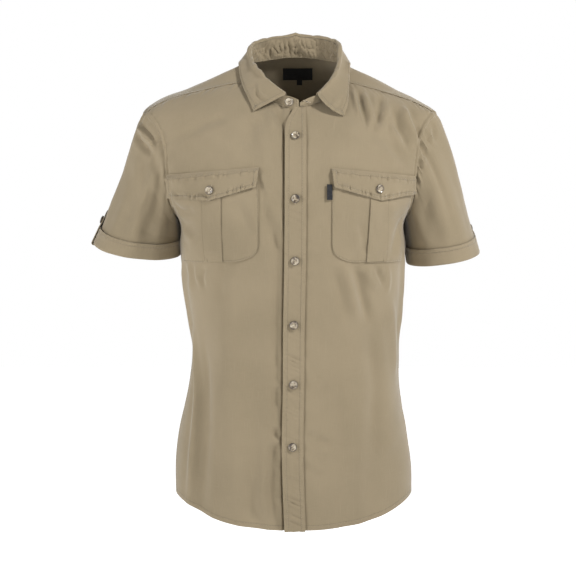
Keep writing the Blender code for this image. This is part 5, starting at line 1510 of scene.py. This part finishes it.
# What each piece that shows was cut to, in metres: width, length, area, how it is held, what it lies on
cuts = {
    "front_right_cloth": (0.31, 0.76, 0.187, "hung", ("yoke_cloth",)),
    "front_left_cloth": (0.27, 0.76, 0.167, "hung", ("yoke_cloth",)),
    "back_cloth": (0.55, 0.68, 0.325, "hung", ("yoke_cloth",)),
    "yoke_cloth": (0.50, 0.21, 0.0735, "hung", ("collar_stand_cloth",)),
    "sleeve_right_cloth": (0.51, 0.235, 0.059, "hung", ("front_right_cloth", "back_cloth", "yoke_cloth")),
    "sleeve_left_cloth": (0.51, 0.245, 0.064, "hung", ("front_left_cloth", "back_cloth", "yoke_cloth")),
    "cuff_right_cloth": (0.414, 0.041, None, "folded", ("sleeve_right_cloth",)),
    "cuff_left_cloth": (0.408, 0.041, None, "folded", ("sleeve_left_cloth",)),
    "tab_right_cloth": (0.031, 0.09, 0.0023, "folded", ("sleeve_right_cloth",)),
    "tab_left_cloth": (0.033, 0.09, 0.0025, "folded", ("sleeve_left_cloth",)),
    "placket_cloth": (0.036, 0.703, 0.0248, "hung", ("front_right_cloth", "front_left_cloth")),
    "pocket_right_cloth": (0.21, 0.143, 0.029, "laid", ("front_right_cloth",)),
    "pocket_left_cloth": (0.205, 0.14, 0.028, "laid", ("front_left_cloth",)),
    "flap_right_cloth": (0.178, 0.048, 0.0075, "laid", ("pocket_right_cloth",)),
    "flap_left_cloth": (0.166, 0.046, 0.0065, "laid", ("pocket_left_cloth",)),
    "collar_fall_cloth": (0.52, 0.07, 0.0235, "folded", ("collar_stand_cloth",)),
    "collar_stand_cloth": (0.54, 0.038, 0.0145, "hung", ("yoke_cloth",)),
    "neck_label_cloth": (0.05, 0.023, None, "laid", ("yoke_cloth",)),
    "size_tab_cloth": (0.01, 0.0135, None, "laid", ("yoke_cloth",)),
    "pocket_tag_cloth": (0.011, 0.025, None, "laid", ("pocket_left_cloth",)),
}
for name, piece in pieces.items():
    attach(piece, "root")
    name in cuts
    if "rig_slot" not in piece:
        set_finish(piece, "cloth")

# Floor, lights and camera
stage = {"floor": -1.47, "floorSize": 9, "horizon": 1.0, "sky": 0.08, "skyFrom": 0.14, "skyTo": 0.21,
         "floorNear": 0.12, "floorFar": 1.05, "nearRadius": 1.6, "farRadius": 2.9, "target": (0, 0, -0.35),
         "lamps": {"key": ((1.9, -1.4, 1.5), 80, 0.35), "fill": ((-3.2, -1.7, 0.6), 78, 1.6),
                   "rear": ((0.7, 2.7, 1.7), 60, 1.2)}}
camera = {"target": (-0.0124, 0, -0.376), "tilt": 4, "distance": 3.6, "pixel": 0.00165, "pixels": 576, "sensor": 36}


def aimed(name, data, location, target):
    holder = bpy.data.objects.new(name, data)
    holder.location = location
    holder.rotation_euler = (target - holder.location).to_track_quat("-Z", "Y").to_euler()
    bpy.context.scene.collection.objects.link(holder)
    return holder


def makeStage():
    mesh = bmesh.new()
    bmesh.ops.create_grid(mesh, x_segments=1, y_segments=1, size=stage["floorSize"])
    bmesh.ops.translate(mesh, verts=mesh.verts[:], vec=(0, 0, stage["floor"]))
    floor = linked("floor", mesh)
    made, start, shader = newMaterial("pale_glowing_floor", 0.9, Base_Color=(0.93, 0.93, 0.93, 1), Emission_Strength=1.0)
    # painted light: the floor glows like a studio sweep, bright far off, with a painted shadow of dimmer glow round
    # the shirt
    away = start.add("ShaderNodeVectorMath", {"operation": "LENGTH"}, {0: start.place()}, 1)
    glowAndShadow = away.smooth(stage["nearRadius"], stage["farRadius"], stage["floorNear"], stage["floorFar"])
    start.mixed(glowAndShadow, (0, 0, 0), (1, 1, 1)).to(shader, "Emission Color")
    floor.data.materials.append(made)
    world = bpy.data.worlds.new("studio")
    world.use_nodes = True
    # white round the horizon, dimmer overhead
    sky = Socket(world.node_tree)
    height = sky.add("ShaderNodeSeparateXYZ", None, {"Vector": sky.add("ShaderNodeTexCoord")}, output=2)
    background = world.node_tree.nodes["Background"]
    background.inputs["Color"].default_value = (1, 1, 1, 1)
    abs(height).smooth(stage["skyFrom"], stage["skyTo"], stage["horizon"], stage["sky"]).to(background, "Strength")
    bpy.context.scene.world = world
    bpy.context.scene.view_settings.view_transform = "Standard"
    for name, (location, power, size) in stage["lamps"].items():
        lamp = bpy.data.lights.new(name, "AREA")
        lamp.energy, lamp.size = power, size
        aimed(name, lamp, location, Vector(stage["target"]))


def makeCamera():
    target, tilt = Vector(camera["target"]), math.radians(camera["tilt"])
    view = bpy.data.cameras.new("camera")
    view.lens = camera["distance"] / camera["pixel"] * camera["sensor"] / camera["pixels"]
    view.sensor_width = camera["sensor"]
    location = target + Vector((0, -math.cos(tilt), math.sin(tilt))) * camera["distance"]
    bpy.context.scene.camera = aimed("camera", view, location, target)


makeStage()
makeCamera()
print("stage and camera made")
